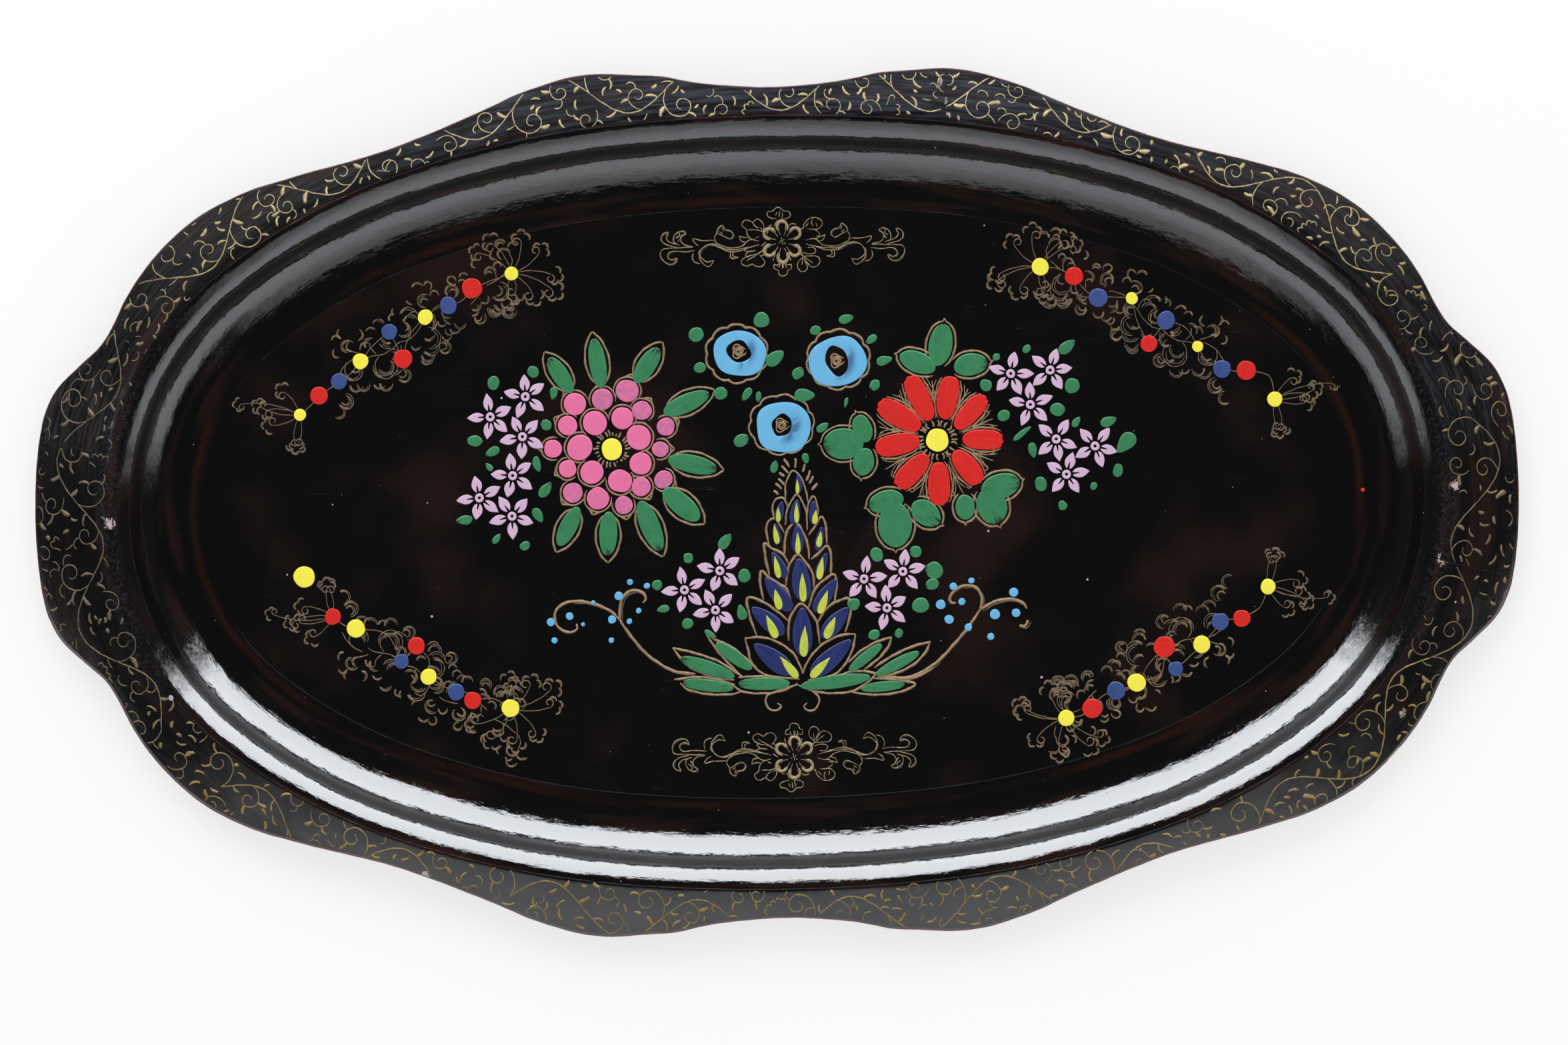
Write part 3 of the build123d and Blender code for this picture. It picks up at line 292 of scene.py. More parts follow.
GOLD_CART_FULL = \
    [[(-7.01, 2.94), (-9.81, 4.69), (-13.31, 5.4), (-15.77, 6.8), (-15.98, 8.55), (-14.01,
    9.39), (-11.91, 8.55), (-10.51, 9.53), (-8.27, 9.6), (-7.01, 7.85), (-8.27, 5.75), (-9.11,
    5.04)], [(-14.01, 7.29), (-10.51, 5.18), (-7.01, 2.94)], [(-13.31, 3.64), (-14.57, 5.04),
    (-13.31, 5.89)], [(-14.01, 1.89), (-15.06, 3.08), (-13.31, 3.64), (-10.51, 3.29)], [(7.01,
    4.34), (8.06, 6.1), (6.31, 7.85), (5.75, 9.95), (7.01, 11.7), (8.76, 11.7), (9.81, 10.3),
    (8.76, 7.85), (8.27, 6.45)], [(8.27, 5.89), (10.51, 5.75), (13.66, 6.1), (14.71, 7.85),
    (13.66, 9.6), (11.21, 10.09), (9.46, 8.2), (8.41, 6.45)], [(8.55, 6.1), (11.91, 8.69)],
    [(8.06, 6.45), (7.57, 9.25)], [(7.71, 4.34), (10.51, 5.04), (12.75, 4.48), (12.96, 3.29),
    (11.91, 2.38), (9.81, 2.59)], [(-0.7, 7.85), (-2.1, 9.25), (-3.36, 8.9), (-3.15, 10.65),
    (-1.75, 11.35), (-1.4, 12.89), (0.0, 13.45), (1.75, 12.75), (2.1, 11.21), (3.36, 10.65),
    (3.22, 8.97), (1.75, 9.11), (0.7, 7.85)], [(0.0, 8.2), (0.0, 10.65)], [(-0.84, 8.55),
    (-1.54, 10.3)], [(0.84, 8.55), (1.54, 10.3)], [(8.06, -4.41), (8.76, -6.87), (10.86,
    -8.97), (12.26, -9.32), (14.01, -8.97), (15.55, -7.92), (15.77, -6.31), (14.01, -4.76),
    (11.91, -4.62), (9.81, -4.76)], [(12.26, -9.32), (11.56, -7.57), (12.05, -5.82)], [(9.11,
    -5.47), (10.51, -7.22)], [(13.66, -5.47), (13.31, -7.22)], [(-7.71, -4.06), (-7.01, -6.31),
    (-8.27, -8.27), (-9.81, -8.97), (-11.56, -7.92), (-13.31, -8.62), (-15.06, -8.27), (-15.77,
    -6.52), (-14.01, -5.11), (-13.66, -3.01), (-12.47, -1.4), (-10.51, -1.12)], [(-7.01,
    -3.71), (-9.46, -4.76), (-13.31, -4.76)], [(-11.56, -7.92), (-10.51, -6.31), (-9.11,
    -5.47)], [(-2.1, -8.97), (-4.2, -9.32), (-5.75, -10.37), (-5.47, -11.77), (-3.5, -12.12),
    (-2.1, -13.31), (-0.7, -13.31), (0.7, -12.12), (2.8, -11.63), (3.36, -10.02), (1.75,
    -8.97), (0.35, -8.97)], [(-1.05, -9.67), (-0.84, -12.12)], [(-2.45, -10.23), (-1.75,
    -11.63)], [(0.35, -10.23), (0.14, -11.63)], [(-3.15, -5.82), (-2.1, -8.27)], [(2.8, -6.17),
    (3.85, -7.01), (5.75, -6.73)], [(-6.31, 0.14), (-8.27, 1.54)], [(-3.85, 7.5), (-2.8,
    4.34)], [(3.15, 7.5), (2.45, 4.34)], [(-5.96, -3.01), (-4.9, -6.17), (-3.85, -6.52)],
    [(11.91, -0.91), (14.01, -1.26), (14.71, -3.01), (12.96, -4.41)], [(-10.51, -1.61), (-9.11,
    -2.31)]]

GOLD_CART_PLACES = \
    [(3.8, 102.3), (5.1, -100.1)]

ROSE_FRAMES = \
    [[-14.8, 58.6, 12.3, 11.5], [25.0, 55.7, 12.5, 11.8], [2.3, 30.5, 12.8, 11.8]]

GOLD_SPRAY = \
    [[110.6, 99.1, 2.07, 200, -250], [106.8, 101.8, 1.97, 150, -140], [111.4, 103.3, 1.76, 170,
    -170], [111.4, 102.2, 1.14, 170, -170], [114.7, 99.3, 1.45, 250, 150], [113.6, 94.7, 1.29,
    200, -200], [116.4, 91.5, 1.97, 170, -170], [116.9, 90.7, 1.24, 160, -150], [121.4, 95.1,
    1.55, 70, -150], [126.7, 90.3, 1.45, 170, -160], [127.0, 88.8, 1.14, 170, -150], [124.1,
    86.0, 2.07, 120, -170], [124.3, 83.9, 1.45, 160, -130], [131.4, 89.5, 1.45, 200, -290],
    [131.0, 85.1, 2.28, 230, -260], [131.0, 84.8, 1.34, 250, -230], [141.2, 87.0, 1.45, 250,
    -230], [145.0, 86.1, 1.81, 170, -150], [138.3, 83.7, 1.45, 200, -200], [142.1, 81.5, 2.28,
    130, -220], [141.8, 81.0, 1.24, 170, -180], [147.5, 81.7, 1.45, 240, 110], [152.9, 76.7,
    1.55, 60, -100], [154.7, 75.6, 1.55, 120, -150], [160.3, 72.4, 2.07, 170, -140], [162.9,
    69.8, 1.66, 160, -140], [168.5, 68.7, 1.76, 100, 160], [174.2, 68.6, 1.76, 60, -130],
    [172.6, 63.9, 2.17, 150, -220], [176.8, 66.4, 1.55, 160, -150], [176.2, 61.3, 1.55, 60,
    -160], [163.8, 65.1, 2.07, 120, -150], [165.9, 63.5, 1.86, 130, -140], [171.0, 64.0, 1.66,
    80, -170], [112.9, 83.6, 3.21, 90, 220], [113.2, 85.1, 1.66, 90, 190], [112.3, 80.0, 3.1,
    170, 160], [113.3, 78.4, 2.33, 190, 150], [107.7, 81.1, 1.76, 100, 190], [108.5, 80.0,
    1.34, 150, 170], [109.2, 76.9, 2.38, 170, 200], [109.2, 77.4, 1.66, 180, 170], [114.4,
    76.8, 2.38, 190, 180], [114.6, 77.9, 1.76, 200, 160], [118.3, 81.4, 1.55, 120, 190],
    [121.6, 79.8, 1.97, 150, 150], [120.5, 74.1, 1.97, 130, 220], [120.8, 74.4, 1.24, 150,
    200], [122.6, 77.7, 2.07, 120, 150], [132.4, 75.0, 2.17, 250, 120], [133.5, 76.5, 1.86,
    220, 140], [135.5, 73.4, 1.45, 200, 170], [128.2, 72.4, 1.86, 170, 190], [130.3, 70.9,
    1.76, 190, 150], [132.3, 69.3, 1.45, 180, 200], [133.8, 67.2, 1.45, 160, 190], [134.0,
    63.0, 2.07, 0, 320], [134.3, 63.0, 1.03, 60, 230], [140.0, 66.6, 3.62, 80, 180], [140.0,
    64.0, 3.1, 170, 140], [140.8, 68.1, 2.07, 170, 120], [141.3, 67.6, 1.24, 180, 150], [140.4,
    60.3, 2.28, 160, 190], [141.5, 58.8, 2.07, 190, 140], [145.7, 63.9, 1.66, 190, 150],
    [140.1, 72.2, 2.17, 20, 230], [140.1, 72.2, 1.34, 30, 210], [150.7, 52.4, 2.28, 80, 230],
    [151.2, 52.9, 1.34, 90, 230], [158.0, 55.9, 4.14, 130, 220], [158.0, 56.4, 2.48, 130, 200],
    [153.9, 60.1, 2.17, 70, 220], [154.7, 59.6, 1.24, 80, 200], [157.3, 49.2, 2.17, 170, 190],
    [160.4, 49.7, 1.86, 200, 140], [154.9, 56.0, 3.1, 200, 100], [166.1, 49.6, 2.17, 170, 190],
    [168.7, 48.5, 2.28, 190, 160], [170.3, 54.1, 3.1, 150, 170], [169.8, 55.2, 1.76, 150, 160],
    [173.3, 42.7, 2.59, 90, 230], [173.5, 43.2, 1.55, 90, 230], [176.3, 38.0, 2.28, 90, 200],
    [148.5, 75.2, 3.1, 170, -140], [147.4, 73.2, 2.59, 160, -140], [149.9, 70.0, 2.38, 90,
    210], [150.5, 71.0, 1.55, 90, 150], [140.2, 73.3, 2.38, 60, 150], [156.1, 66.8, 2.48, 0,
    -100], [156.1, 66.3, 3.1, -20, -80]]

GOLD_SPRAY_STEMS = \
    [[(108.7, 93.0), (111.0, 91.1), (113.5, 89.0), (117.6, 87.1)], [(120.2, 83.5), (122.2,
    81.3), (124.0, 79.8)], [(131.5, 80.7), (133.6, 80.4), (136.6, 79.5), (138.7, 78.0)],
    [(141.7, 74.8), (143.2, 72.2), (145.3, 69.1), (148.3, 66.4), (152.4, 65.1), (155.0, 62.7),
    (158.6, 60.8), (163.7, 59.9), (166.3, 58.3)], [(168.4, 59.9), (171.5, 58.3), (174.0, 56.1),
    (176.5, 52.0)], [(130.5, 82.2), (129.0, 84.3), (129.3, 86.4)], [(107.9, 93.5), (107.2,
    96.6), (108.0, 98.9)], [(114.0, 88.7), (113.7, 91.3), (114.6, 93.4)], [(122.5, 81.9),
    (122.5, 84.4)], [(142.7, 73.2), (143.8, 75.8), (145.9, 77.3), (148.5, 76.2)], [(148.1,
    66.9), (147.6, 69.5), (148.4, 71.8)], [(151.4, 64.3), (151.1, 61.7), (149.8, 60.4)],
    [(160.1, 60.0), (161.6, 57.4), (161.3, 54.3)], [(173.0, 57.7), (173.7, 54.6), (172.4,
    51.5)], [(161.2, 61.0), (163.3, 63.1), (163.8, 65.6)], [(166.3, 60.9), (170.0, 61.9),
    (173.6, 62.9)]]


# ---------------------------------------------------------- crest, section


def crest_arcs():
    turn = [math.radians(v) for v in [0.0] + CREST_TURNS]
    dc = [math.cos(b) - math.cos(a) for a, b in zip(turn, turn[1:])]
    ds = [math.sin(b) - math.sin(a) for a, b in zip(turn, turn[1:])]
    rx = -CREST_A - CREST_R1 * dc[0] - CREST_R2 * dc[1]
    ry = CREST_B - CREST_R1 * ds[0] - CREST_R2 * ds[1]
    det = dc[2] * ds[3] - dc[3] * ds[2]
    radii = [CREST_R1, CREST_R2,
             (rx * ds[3] - dc[3] * ry) / det, (dc[2] * ry - rx * ds[2]) / det]
    x, y, quarter = CREST_A, 0.0, []
    for k, r in enumerate(radii):
        cx, cy = x - r * math.cos(turn[k]), y - r * math.sin(turn[k])
        quarter.append((cx, cy, r, turn[k], turn[k + 1]))
        x, y = cx + r * math.cos(turn[k + 1]), cy + r * math.sin(turn[k + 1])
    end, side = quarter[0], quarter[3]
    arcs = [(end[0], 0.0, end[2], -end[4], end[4]), quarter[1], quarter[2],
            (0.0, side[1], side[2], side[3], math.pi - side[3])]
    arcs += [(-cx, cy, r, math.pi - b, math.pi - a)
             for cx, cy, r, a, b in (quarter[2], quarter[1])]
    arcs += [(-cx, -cy, r, math.pi + a, math.pi + b)
             for cx, cy, r, a, b in list(arcs)]
    return arcs


ARCS = crest_arcs()
ARC_START = np.cumsum([0.0] + [r * (b - a) for _, _, r, a, b in ARCS])
LENGTH = float(ARC_START[-1])
ARC_TABLE = np.array(ARCS)
RUN0 = ARCS[0][2] * ARCS[0][4]


def crest(run):
    """Points and outward normals at distances along the crest."""
    s = (np.asarray(run, float) + RUN0) % LENGTH
    k = np.clip(np.searchsorted(ARC_START, s, side="right") - 1, 0, len(ARCS) - 1)
    a = ARC_TABLE[k]
    ang = a[..., 3] + (s - ARC_START[k]) / a[..., 2]
    nx, ny = np.cos(ang), np.sin(ang)
    return a[..., 0] + a[..., 2] * nx, a[..., 1] + a[..., 2] * ny, nx, ny


def section_table():
    ds = np.linspace(-40.0, 48.0, 3521)
    kd = np.array([k[0] for k in KNOTS])
    ks = np.sin(np.radians([k[1] for k in KNOTS]))
    sin = np.interp(ds, kd, ks)
    tan = sin / np.sqrt(1 - sin * sin)
    z = np.concatenate([[0.0], np.cumsum((tan[1:] + tan[:-1]) / 2 * np.diff(ds))])
    return ds, FLOOR_TOP + z, sin


SD, SZ, SS = section_table()


def surface(run, d, t=0.0, lift=0.0):
    """3-D points of the sheet at run, d, depth t; lift is along the normal."""
    run, d = np.broadcast_arrays(np.asarray(run, float), np.asarray(d, float))
    x, y, nx, ny = crest(run)
    s = np.interp(d, SD, SS)
    c = np.sqrt(1 - s * s)
    depth = t - lift
    out = d + depth * s
    return np.stack([x + nx * out, y + ny * out,
                     np.interp(d, SD, SZ) - depth * c], axis=-1)


def outline_polar(inset):
    radii = OUTLINE + OUTLINE[-2::-1]
    radii = np.array(radii + radii[-2:0:-1])
    n = len(radii)
    ang = np.arange(n) * 2 * math.pi / n
    pts = np.stack([radii * np.cos(ang), radii * np.sin(ang)], axis=1)
    m = (np.roll(pts, -1, 0) - np.roll(pts, 1, 0)) / 2
    out = []
    for u in np.linspace(0, 1, 20, endpoint=False):
        h00, h10 = 2*u**3 - 3*u**2 + 1, u**3 - 2*u**2 + u
        h01, h11 = -2*u**3 + 3*u**2, u**3 - u**2
        out.append(h00*pts + h10*m + h01*np.roll(pts, -1, 0) + h11*np.roll(m, -1, 0))
    ring = np.stack(out, axis=1).reshape(-1, 2)
    t = np.roll(ring, -1, 0) - np.roll(ring, 1, 0)
    t /= np.linalg.norm(t, axis=1)[:, None]
    ring = ring + inset * np.stack([-t[:, 1], t[:, 0]], axis=1)
    a = np.unwrap(np.arctan2(ring[:, 1], ring[:, 0]))
    return a, np.hypot(ring[:, 0], ring[:, 1])


def reach(run, inset):
    """d at which the outline, drawn in by inset, crosses each normal."""
    a, r = outline_polar(inset)
    run = np.asarray(run, float)
    x, y, nx, ny = crest(run)
    lo, hi = np.full(run.shape, 3.0), np.full(run.shape, 60.0)
    for _ in range(36):
        mid = (lo + hi) / 2
        px, py = x + nx * mid, y + ny * mid
        inside = np.hypot(px, py) < np.interp(np.arctan2(py, px), a, r,
                                              period=2 * math.pi)
        lo, hi = np.where(inside, mid, lo), np.where(inside, hi, mid)
    return (lo + hi) / 2


TAB_RUN = np.linspace(0, LENGTH, 2400, endpoint=False)
TAB_OUT = reach(TAB_RUN, BIND + GLUE)


def edge_d(run):
    return np.interp(np.asarray(run) % LENGTH, TAB_RUN, TAB_OUT, period=LENGTH)


def ripple(run, d):
    """Slow unevenness of the hand-laid sheets, in mm."""
    w = 2 * math.pi * np.asarray(run) / LENGTH
    h = (0.050 * np.sin(19 * w + 0.06 * d + 0.7) + 0.040 * np.sin(31 * w - 0.11 * d + 2.1)
         + 0.022 * np.sin(53 * w + 0.17 * d + 4.0) + 0.012 * np.sin(97 * w - 0.35 * d)
         + 0.020 * np.sin(0.55 * d + 9 * w))
    return h * np.clip((np.asarray(d) + 33.9) / 12.0, 0.0, 1.0)


# ------------------------------------------------------------ mesh helpers


def make_object(name, verts, faces, material, attrs=None, tint=None,
                flat=(), replaces=()):
    """faces is a list of arrays (quads, triangles) and lists (caps)."""
    me = bpy.data.meshes.new(name)
    loops, starts, totals = [], [], []
    at = 0
    smooth = []
    for k, f in enumerate(faces):
        if isinstance(f, np.ndarray):
            n, w = f.shape
            loops.append(f.reshape(-1))
            starts.append(at + np.arange(n) * w)
            totals.append(np.full(n, w))
            at += n * w
            smooth.append(np.full(n, k not in flat))
        else:
            loops.append(np.array(f))
            starts.append(np.array([at]))
            totals.append(np.array([len(f)]))
            at += len(f)
            smooth.append(np.array([False]))
    loops = np.concatenate(loops).astype(np.int32)
    starts = np.concatenate(starts).astype(np.int32)
    smooth = np.concatenate(smooth)
    me.vertices.add(len(verts))
    me.vertices.foreach_set("co", (np.asarray(verts) / 1000.0).astype(np.float32).ravel())
    me.loops.add(len(loops))
    me.loops.foreach_set("vertex_index", loops)
    me.polygons.add(len(starts))
    me.polygons.foreach_set("loop_start", starts)
    me.polygons.foreach_set("use_smooth", smooth)
    me.update(calc_edges=True)
    me.validate()
    for key, values in (attrs or {}).items():
        a = me.attributes.new(key, "FLOAT", "POINT")
        a.data.foreach_set("value", np.asarray(values, np.float32))
    if tint is not None:
        a = me.color_attributes.new("tint", "FLOAT_COLOR", "POINT")
        rgba = np.ones((len(verts), 4), np.float32)
        rgba[:, :3] = tint
        a.data.foreach_set("color", rgba.ravel())
    ob = bpy.data.objects.new(name, me)
    bpy.context.scene.collection.objects.link(ob)
    me.materials.append(material)
    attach(ob, "root")
    if replaces:
        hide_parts(*replaces)
    return ob


def grid_faces(rows, cols, wrap_rows, wrap_cols):
    i = np.arange(rows if wrap_rows else rows - 1)
    j = np.arange(cols if wrap_cols else cols - 1)
    i, j = np.meshgrid(i, j, indexing="ij")
    i2, j2 = (i + 1) % rows, (j + 1) % cols
    return np.stack([i * cols + j, i2 * cols + j, i2 * cols + j2,
                     i * cols + j2], axis=-1).reshape(-1, 4)


def skin(name, runs, d0, d1, t_top, t_bot, n_top, n_bot, closed, material,
         replaces, ripples=True, rounding=0.12, knots=None):
    """Closed sheet between d0 and d1 (each a number or one per run)."""
    runs = np.asarray(runs, float)
    d0 = np.broadcast_to(np.asarray(d0, float), runs.shape)
    d1 = np.broadcast_to(np.asarray(d1, float), runs.shape)
    r = min(rounding, (t_bot - t_top) * 0.45)
    u_top = np.linspace(0, 1, n_top) if knots is None else knots
    u_bot = np.linspace(1, 0, n_bot)
    prof = []      # (end offset toward the middle, u, t)
    prof.append((0.0, 0.0, t_top + r))
    prof.append((r * 0.3, 0.0, t_top + r * 0.3))
    for u in u_top:
        prof.append((0.0, u, t_top))
    prof.append((r * 0.3, 1.0, t_top + r * 0.3))
    prof.append((0.0, 1.0, t_top + r))
    for u in u_bot:
        prof.append((0.0, u, t_bot))
    n = len(prof)
    u = np.array([p[1] for p in prof])
    t = np.array([p[2] for p in prof])
    # the top face stops short of the edges by the rounding
    inner = np.zeros(n)
    inner[1] = r * 0.3
    inner[2] = r
    inner[1 + len(u_top)] = -r
    inner[2 + len(u_top)] = -r * 0.3
    D = d0[:, None] + (d1 - d0)[:, None] * u[None, :] + inner[None, :]
    R = np.broadcast_to(runs[:, None], D.shape)
    lift = ripple(R, D) * (t < t_top + 0.3)[None, :] if ripples else 0.0
    V = surface(R, D, t[None, :], lift)
    faces = [grid_faces(len(runs), n, closed, True)]
    if not closed:
        faces.append(list(range(n)))
        faces.append(list(range((len(runs) - 1) * n + n - 1, (len(runs) - 1) * n - 1, -1)))
    return make_object(name, V.reshape(-1, 3), faces, material,
                       attrs={"run": R.ravel(), "d": D.ravel(),
                              "edge": (d1[:, None] - D).ravel()},
                       replaces=replaces)


def spans(a, b, step):
    """Even steps, with one very short step at each end to keep the shading
    of the cut edge off the face."""
    n = max(2, int(math.ceil((b - a) / step)) + 1)
    even = np.linspace(a, b, n)
    return np.concatenate([[a, a + 0.01], even[1:-1], [b - 0.01, b]])


# ------------------------------------------------------------- materials


class Nodes:
    """Small helper for building node materials."""

    def __init__(self, name):
        self.mat = bpy.data.materials.new(name)
        self.mat.use_nodes = True
        self.t = self.mat.node_tree
        self.t.nodes.clear()

    def new(self, kind, **props):
        n = self.t.nodes.new(kind)
        for k, v in props.items():
            setattr(n, k, v)
        return n

    def put(self, socket, value):
        if hasattr(value, "is_output") or isinstance(value, bpy.types.NodeSocket):
            self.t.links.new(value, socket)
        else:
            if socket.type == "RGBA" and len(value) == 3:
                value = (*value, 1.0)
            socket.default_value = value

    def attr(self, name, what="Fac"):
        return self.new("ShaderNodeAttribute", attribute_name=name).outputs[what]

    def math(self, op, a, b=0.0, c=0.0, clamp=False):
        n = self.new("ShaderNodeMath", operation=op, use_clamp=clamp)
        for s, v in zip(n.inputs, (a, b, c)):
            self.put(s, v)
        return n.outputs[0]

    def ramp(self, x, a, b, lo=0.0, hi=1.0, smooth=True):
        n = self.new("ShaderNodeMapRange", clamp=True,
                     interpolation_type="SMOOTHSTEP" if smooth else "LINEAR")
        for s, v in zip(n.inputs, (x, a, b, lo, hi)):
            self.put(s, v)
        return n.outputs[0]

    def vec(self, x=0.0, y=0.0, z=0.0):
        n = self.new("ShaderNodeCombineXYZ")
        for s, v in zip(n.inputs, (x, y, z)):
            self.put(s, v)
        return n.outputs[0]

    def scaled(self, v, scale, offset=(0, 0, 0)):
        n = self.new("ShaderNodeMapping")
        self.put(n.inputs["Vector"], v)
        n.inputs["Scale"].default_value = scale
        n.inputs["Location"].default_value = offset
        return n.outputs[0]

    def noise(self, v, scale, detail=3.0, rough=0.55, distort=0.0):
        n = self.new("ShaderNodeTexNoise")
        self.put(n.inputs["Vector"], v)
        n.inputs["Scale"].default_value = scale
        n.inputs["Detail"].default_value = detail
        n.inputs["Roughness"].default_value = rough
        n.inputs["Distortion"].default_value = distort
        return n.outputs["Fac"]

    def voronoi(self, v, scale, out="Distance", feature="F1", random=1.0):
        n = self.new("ShaderNodeTexVoronoi", feature=feature)
        self.put(n.inputs["Vector"], v)
        n.inputs["Scale"].default_value = scale
        n.inputs["Randomness"].default_value = random
        return n.outputs[out]

    def mix(self, f, a, b, blend="MIX"):
        n = self.new("ShaderNodeMix", data_type="RGBA", blend_type=blend)
        self.put(n.inputs[0], f)
        self.put(n.inputs[6], a)
        self.put(n.inputs[7], b)
        return n.outputs[2]

    def bump(self, height, distance, strength=1.0, normal=None):
        n = self.new("ShaderNodeBump")
        n.inputs["Strength"].default_value = strength
        n.inputs["Distance"].default_value = distance
        self.put(n.inputs["Height"], height)
        if normal is not None:
            self.put(n.inputs["Normal"], normal)
        return n.outputs[0]

    def pos(self):
        """Object coordinates in millimetres."""
        n = self.new("ShaderNodeTexCoord")
        v = self.new("ShaderNodeVectorMath", operation="SCALE")
        self.put(v.inputs[0], n.outputs["Object"])
        v.inputs["Scale"].default_value = 1000.0
        return v.outputs[0]

    def track(self, p, d, along, across, shift):
        """Coordinates that run round the tray without a join."""
        sep = self.new("ShaderNodeSeparateXYZ")
        self.put(sep.inputs[0], p)
        return self.vec(self.math("MULTIPLY", sep.outputs[0], along),
                        self.math("MULTIPLY", sep.outputs[1], along),
                        self.math("MULTIPLY_ADD", d, across, shift))

    def finish(self, color, rough, metallic=0.0, normal=None, ior=1.5,
               specular=0.5, coat=0.0, coat_rough=0.05, flat=True):
        if flat is not False:
            # faces lose most of their mirror at a low angle, so the
            # painting still reads from the side; flat may be a 0-1 amount
            lw = self.new("ShaderNodeLayerWeight")
            lw.inputs["Blend"].default_value = 0.5
            keep = self.ramp(lw.outputs["Facing"], 0.20, 0.46, 0.0, 0.996)
            seen = self.new("ShaderNodeLightPath").outputs["Is Camera Ray"]
            keep = self.math("MULTIPLY", keep, seen)
            keep = self.math("SUBTRACT", 1.0, self.math("MULTIPLY", keep, 1.0 if flat is True else flat))
            specular = self.math("MULTIPLY", keep, specular)
        p = self.new("ShaderNodeBsdfPrincipled")
        self.put(p.inputs["Base Color"], color)
        self.put(p.inputs["Roughness"], rough)
        self.put(p.inputs["Metallic"], metallic)
        self.put(p.inputs["IOR"], ior)
        self.put(p.inputs["Specular IOR Level"], specular)
        self.put(p.inputs["Coat Weight"], coat)
        self.put(p.inputs["Coat Roughness"], coat_rough)
        if normal is not None:
            self.put(p.inputs["Normal"], normal)
        o = self.new("ShaderNodeOutputMaterial")
        self.t.links.new(p.outputs[0], o.inputs[0])
        return self.mat


def srgb(r, g, b):
    f = lambda c: c / 12.92 if c <= 0.04045 else ((c + 0.055) / 1.055) ** 2.4
    return (f(r), f(g), f(b))


def scale_color(c, k):
    return tuple(v * k for v in c)


LIT = 0.80      # paints are set a little under white so the light can be strong


def specks(m, p, scale, size, seed):
    """Sparse bright dust, 0 or 1."""
    v = m.scaled(p, (1, 1, 1), seed)
    n = m.new("ShaderNodeTexVoronoi", feature="F1")
    m.put(n.inputs["Vector"], v)
    n.inputs["Scale"].default_value = scale
    pick = m.new("ShaderNodeSeparateColor")
    m.put(pick.inputs[0], n.outputs["Color"])
    rare = m.ramp(pick.outputs[0], 0.80, 0.82)
    big = m.math("MULTIPLY", pick.outputs[1], size)
    dot = m.math("LESS_THAN", n.outputs["Distance"], big)
    return m.math("MULTIPLY", dot, rare)


def scratches(m, p, seed, turn, strength=1.0):
    n = m.new("ShaderNodeMapping")
    m.put(n.inputs["Vector"], p)
    n.inputs["Rotation"].default_value = (0, 0, turn)
    n.inputs["Location"].default_value = seed
    n.inputs["Scale"].default_value = (0.012, 1.0, 1.0)
    w = m.noise(n.outputs[0], 0.9, 1.0, 0.4)
    line = m.ramp(m.math("ABSOLUTE", m.math("SUBTRACT", w, 0.5)), 0.0012, 0.0, 0, 1)
    where = m.ramp(m.noise(m.scaled(p, (1, 1, 1), seed), 0.035, 2.0), 0.60, 0.66)
    return m.math("MULTIPLY", line, m.math("MULTIPLY", where, strength))


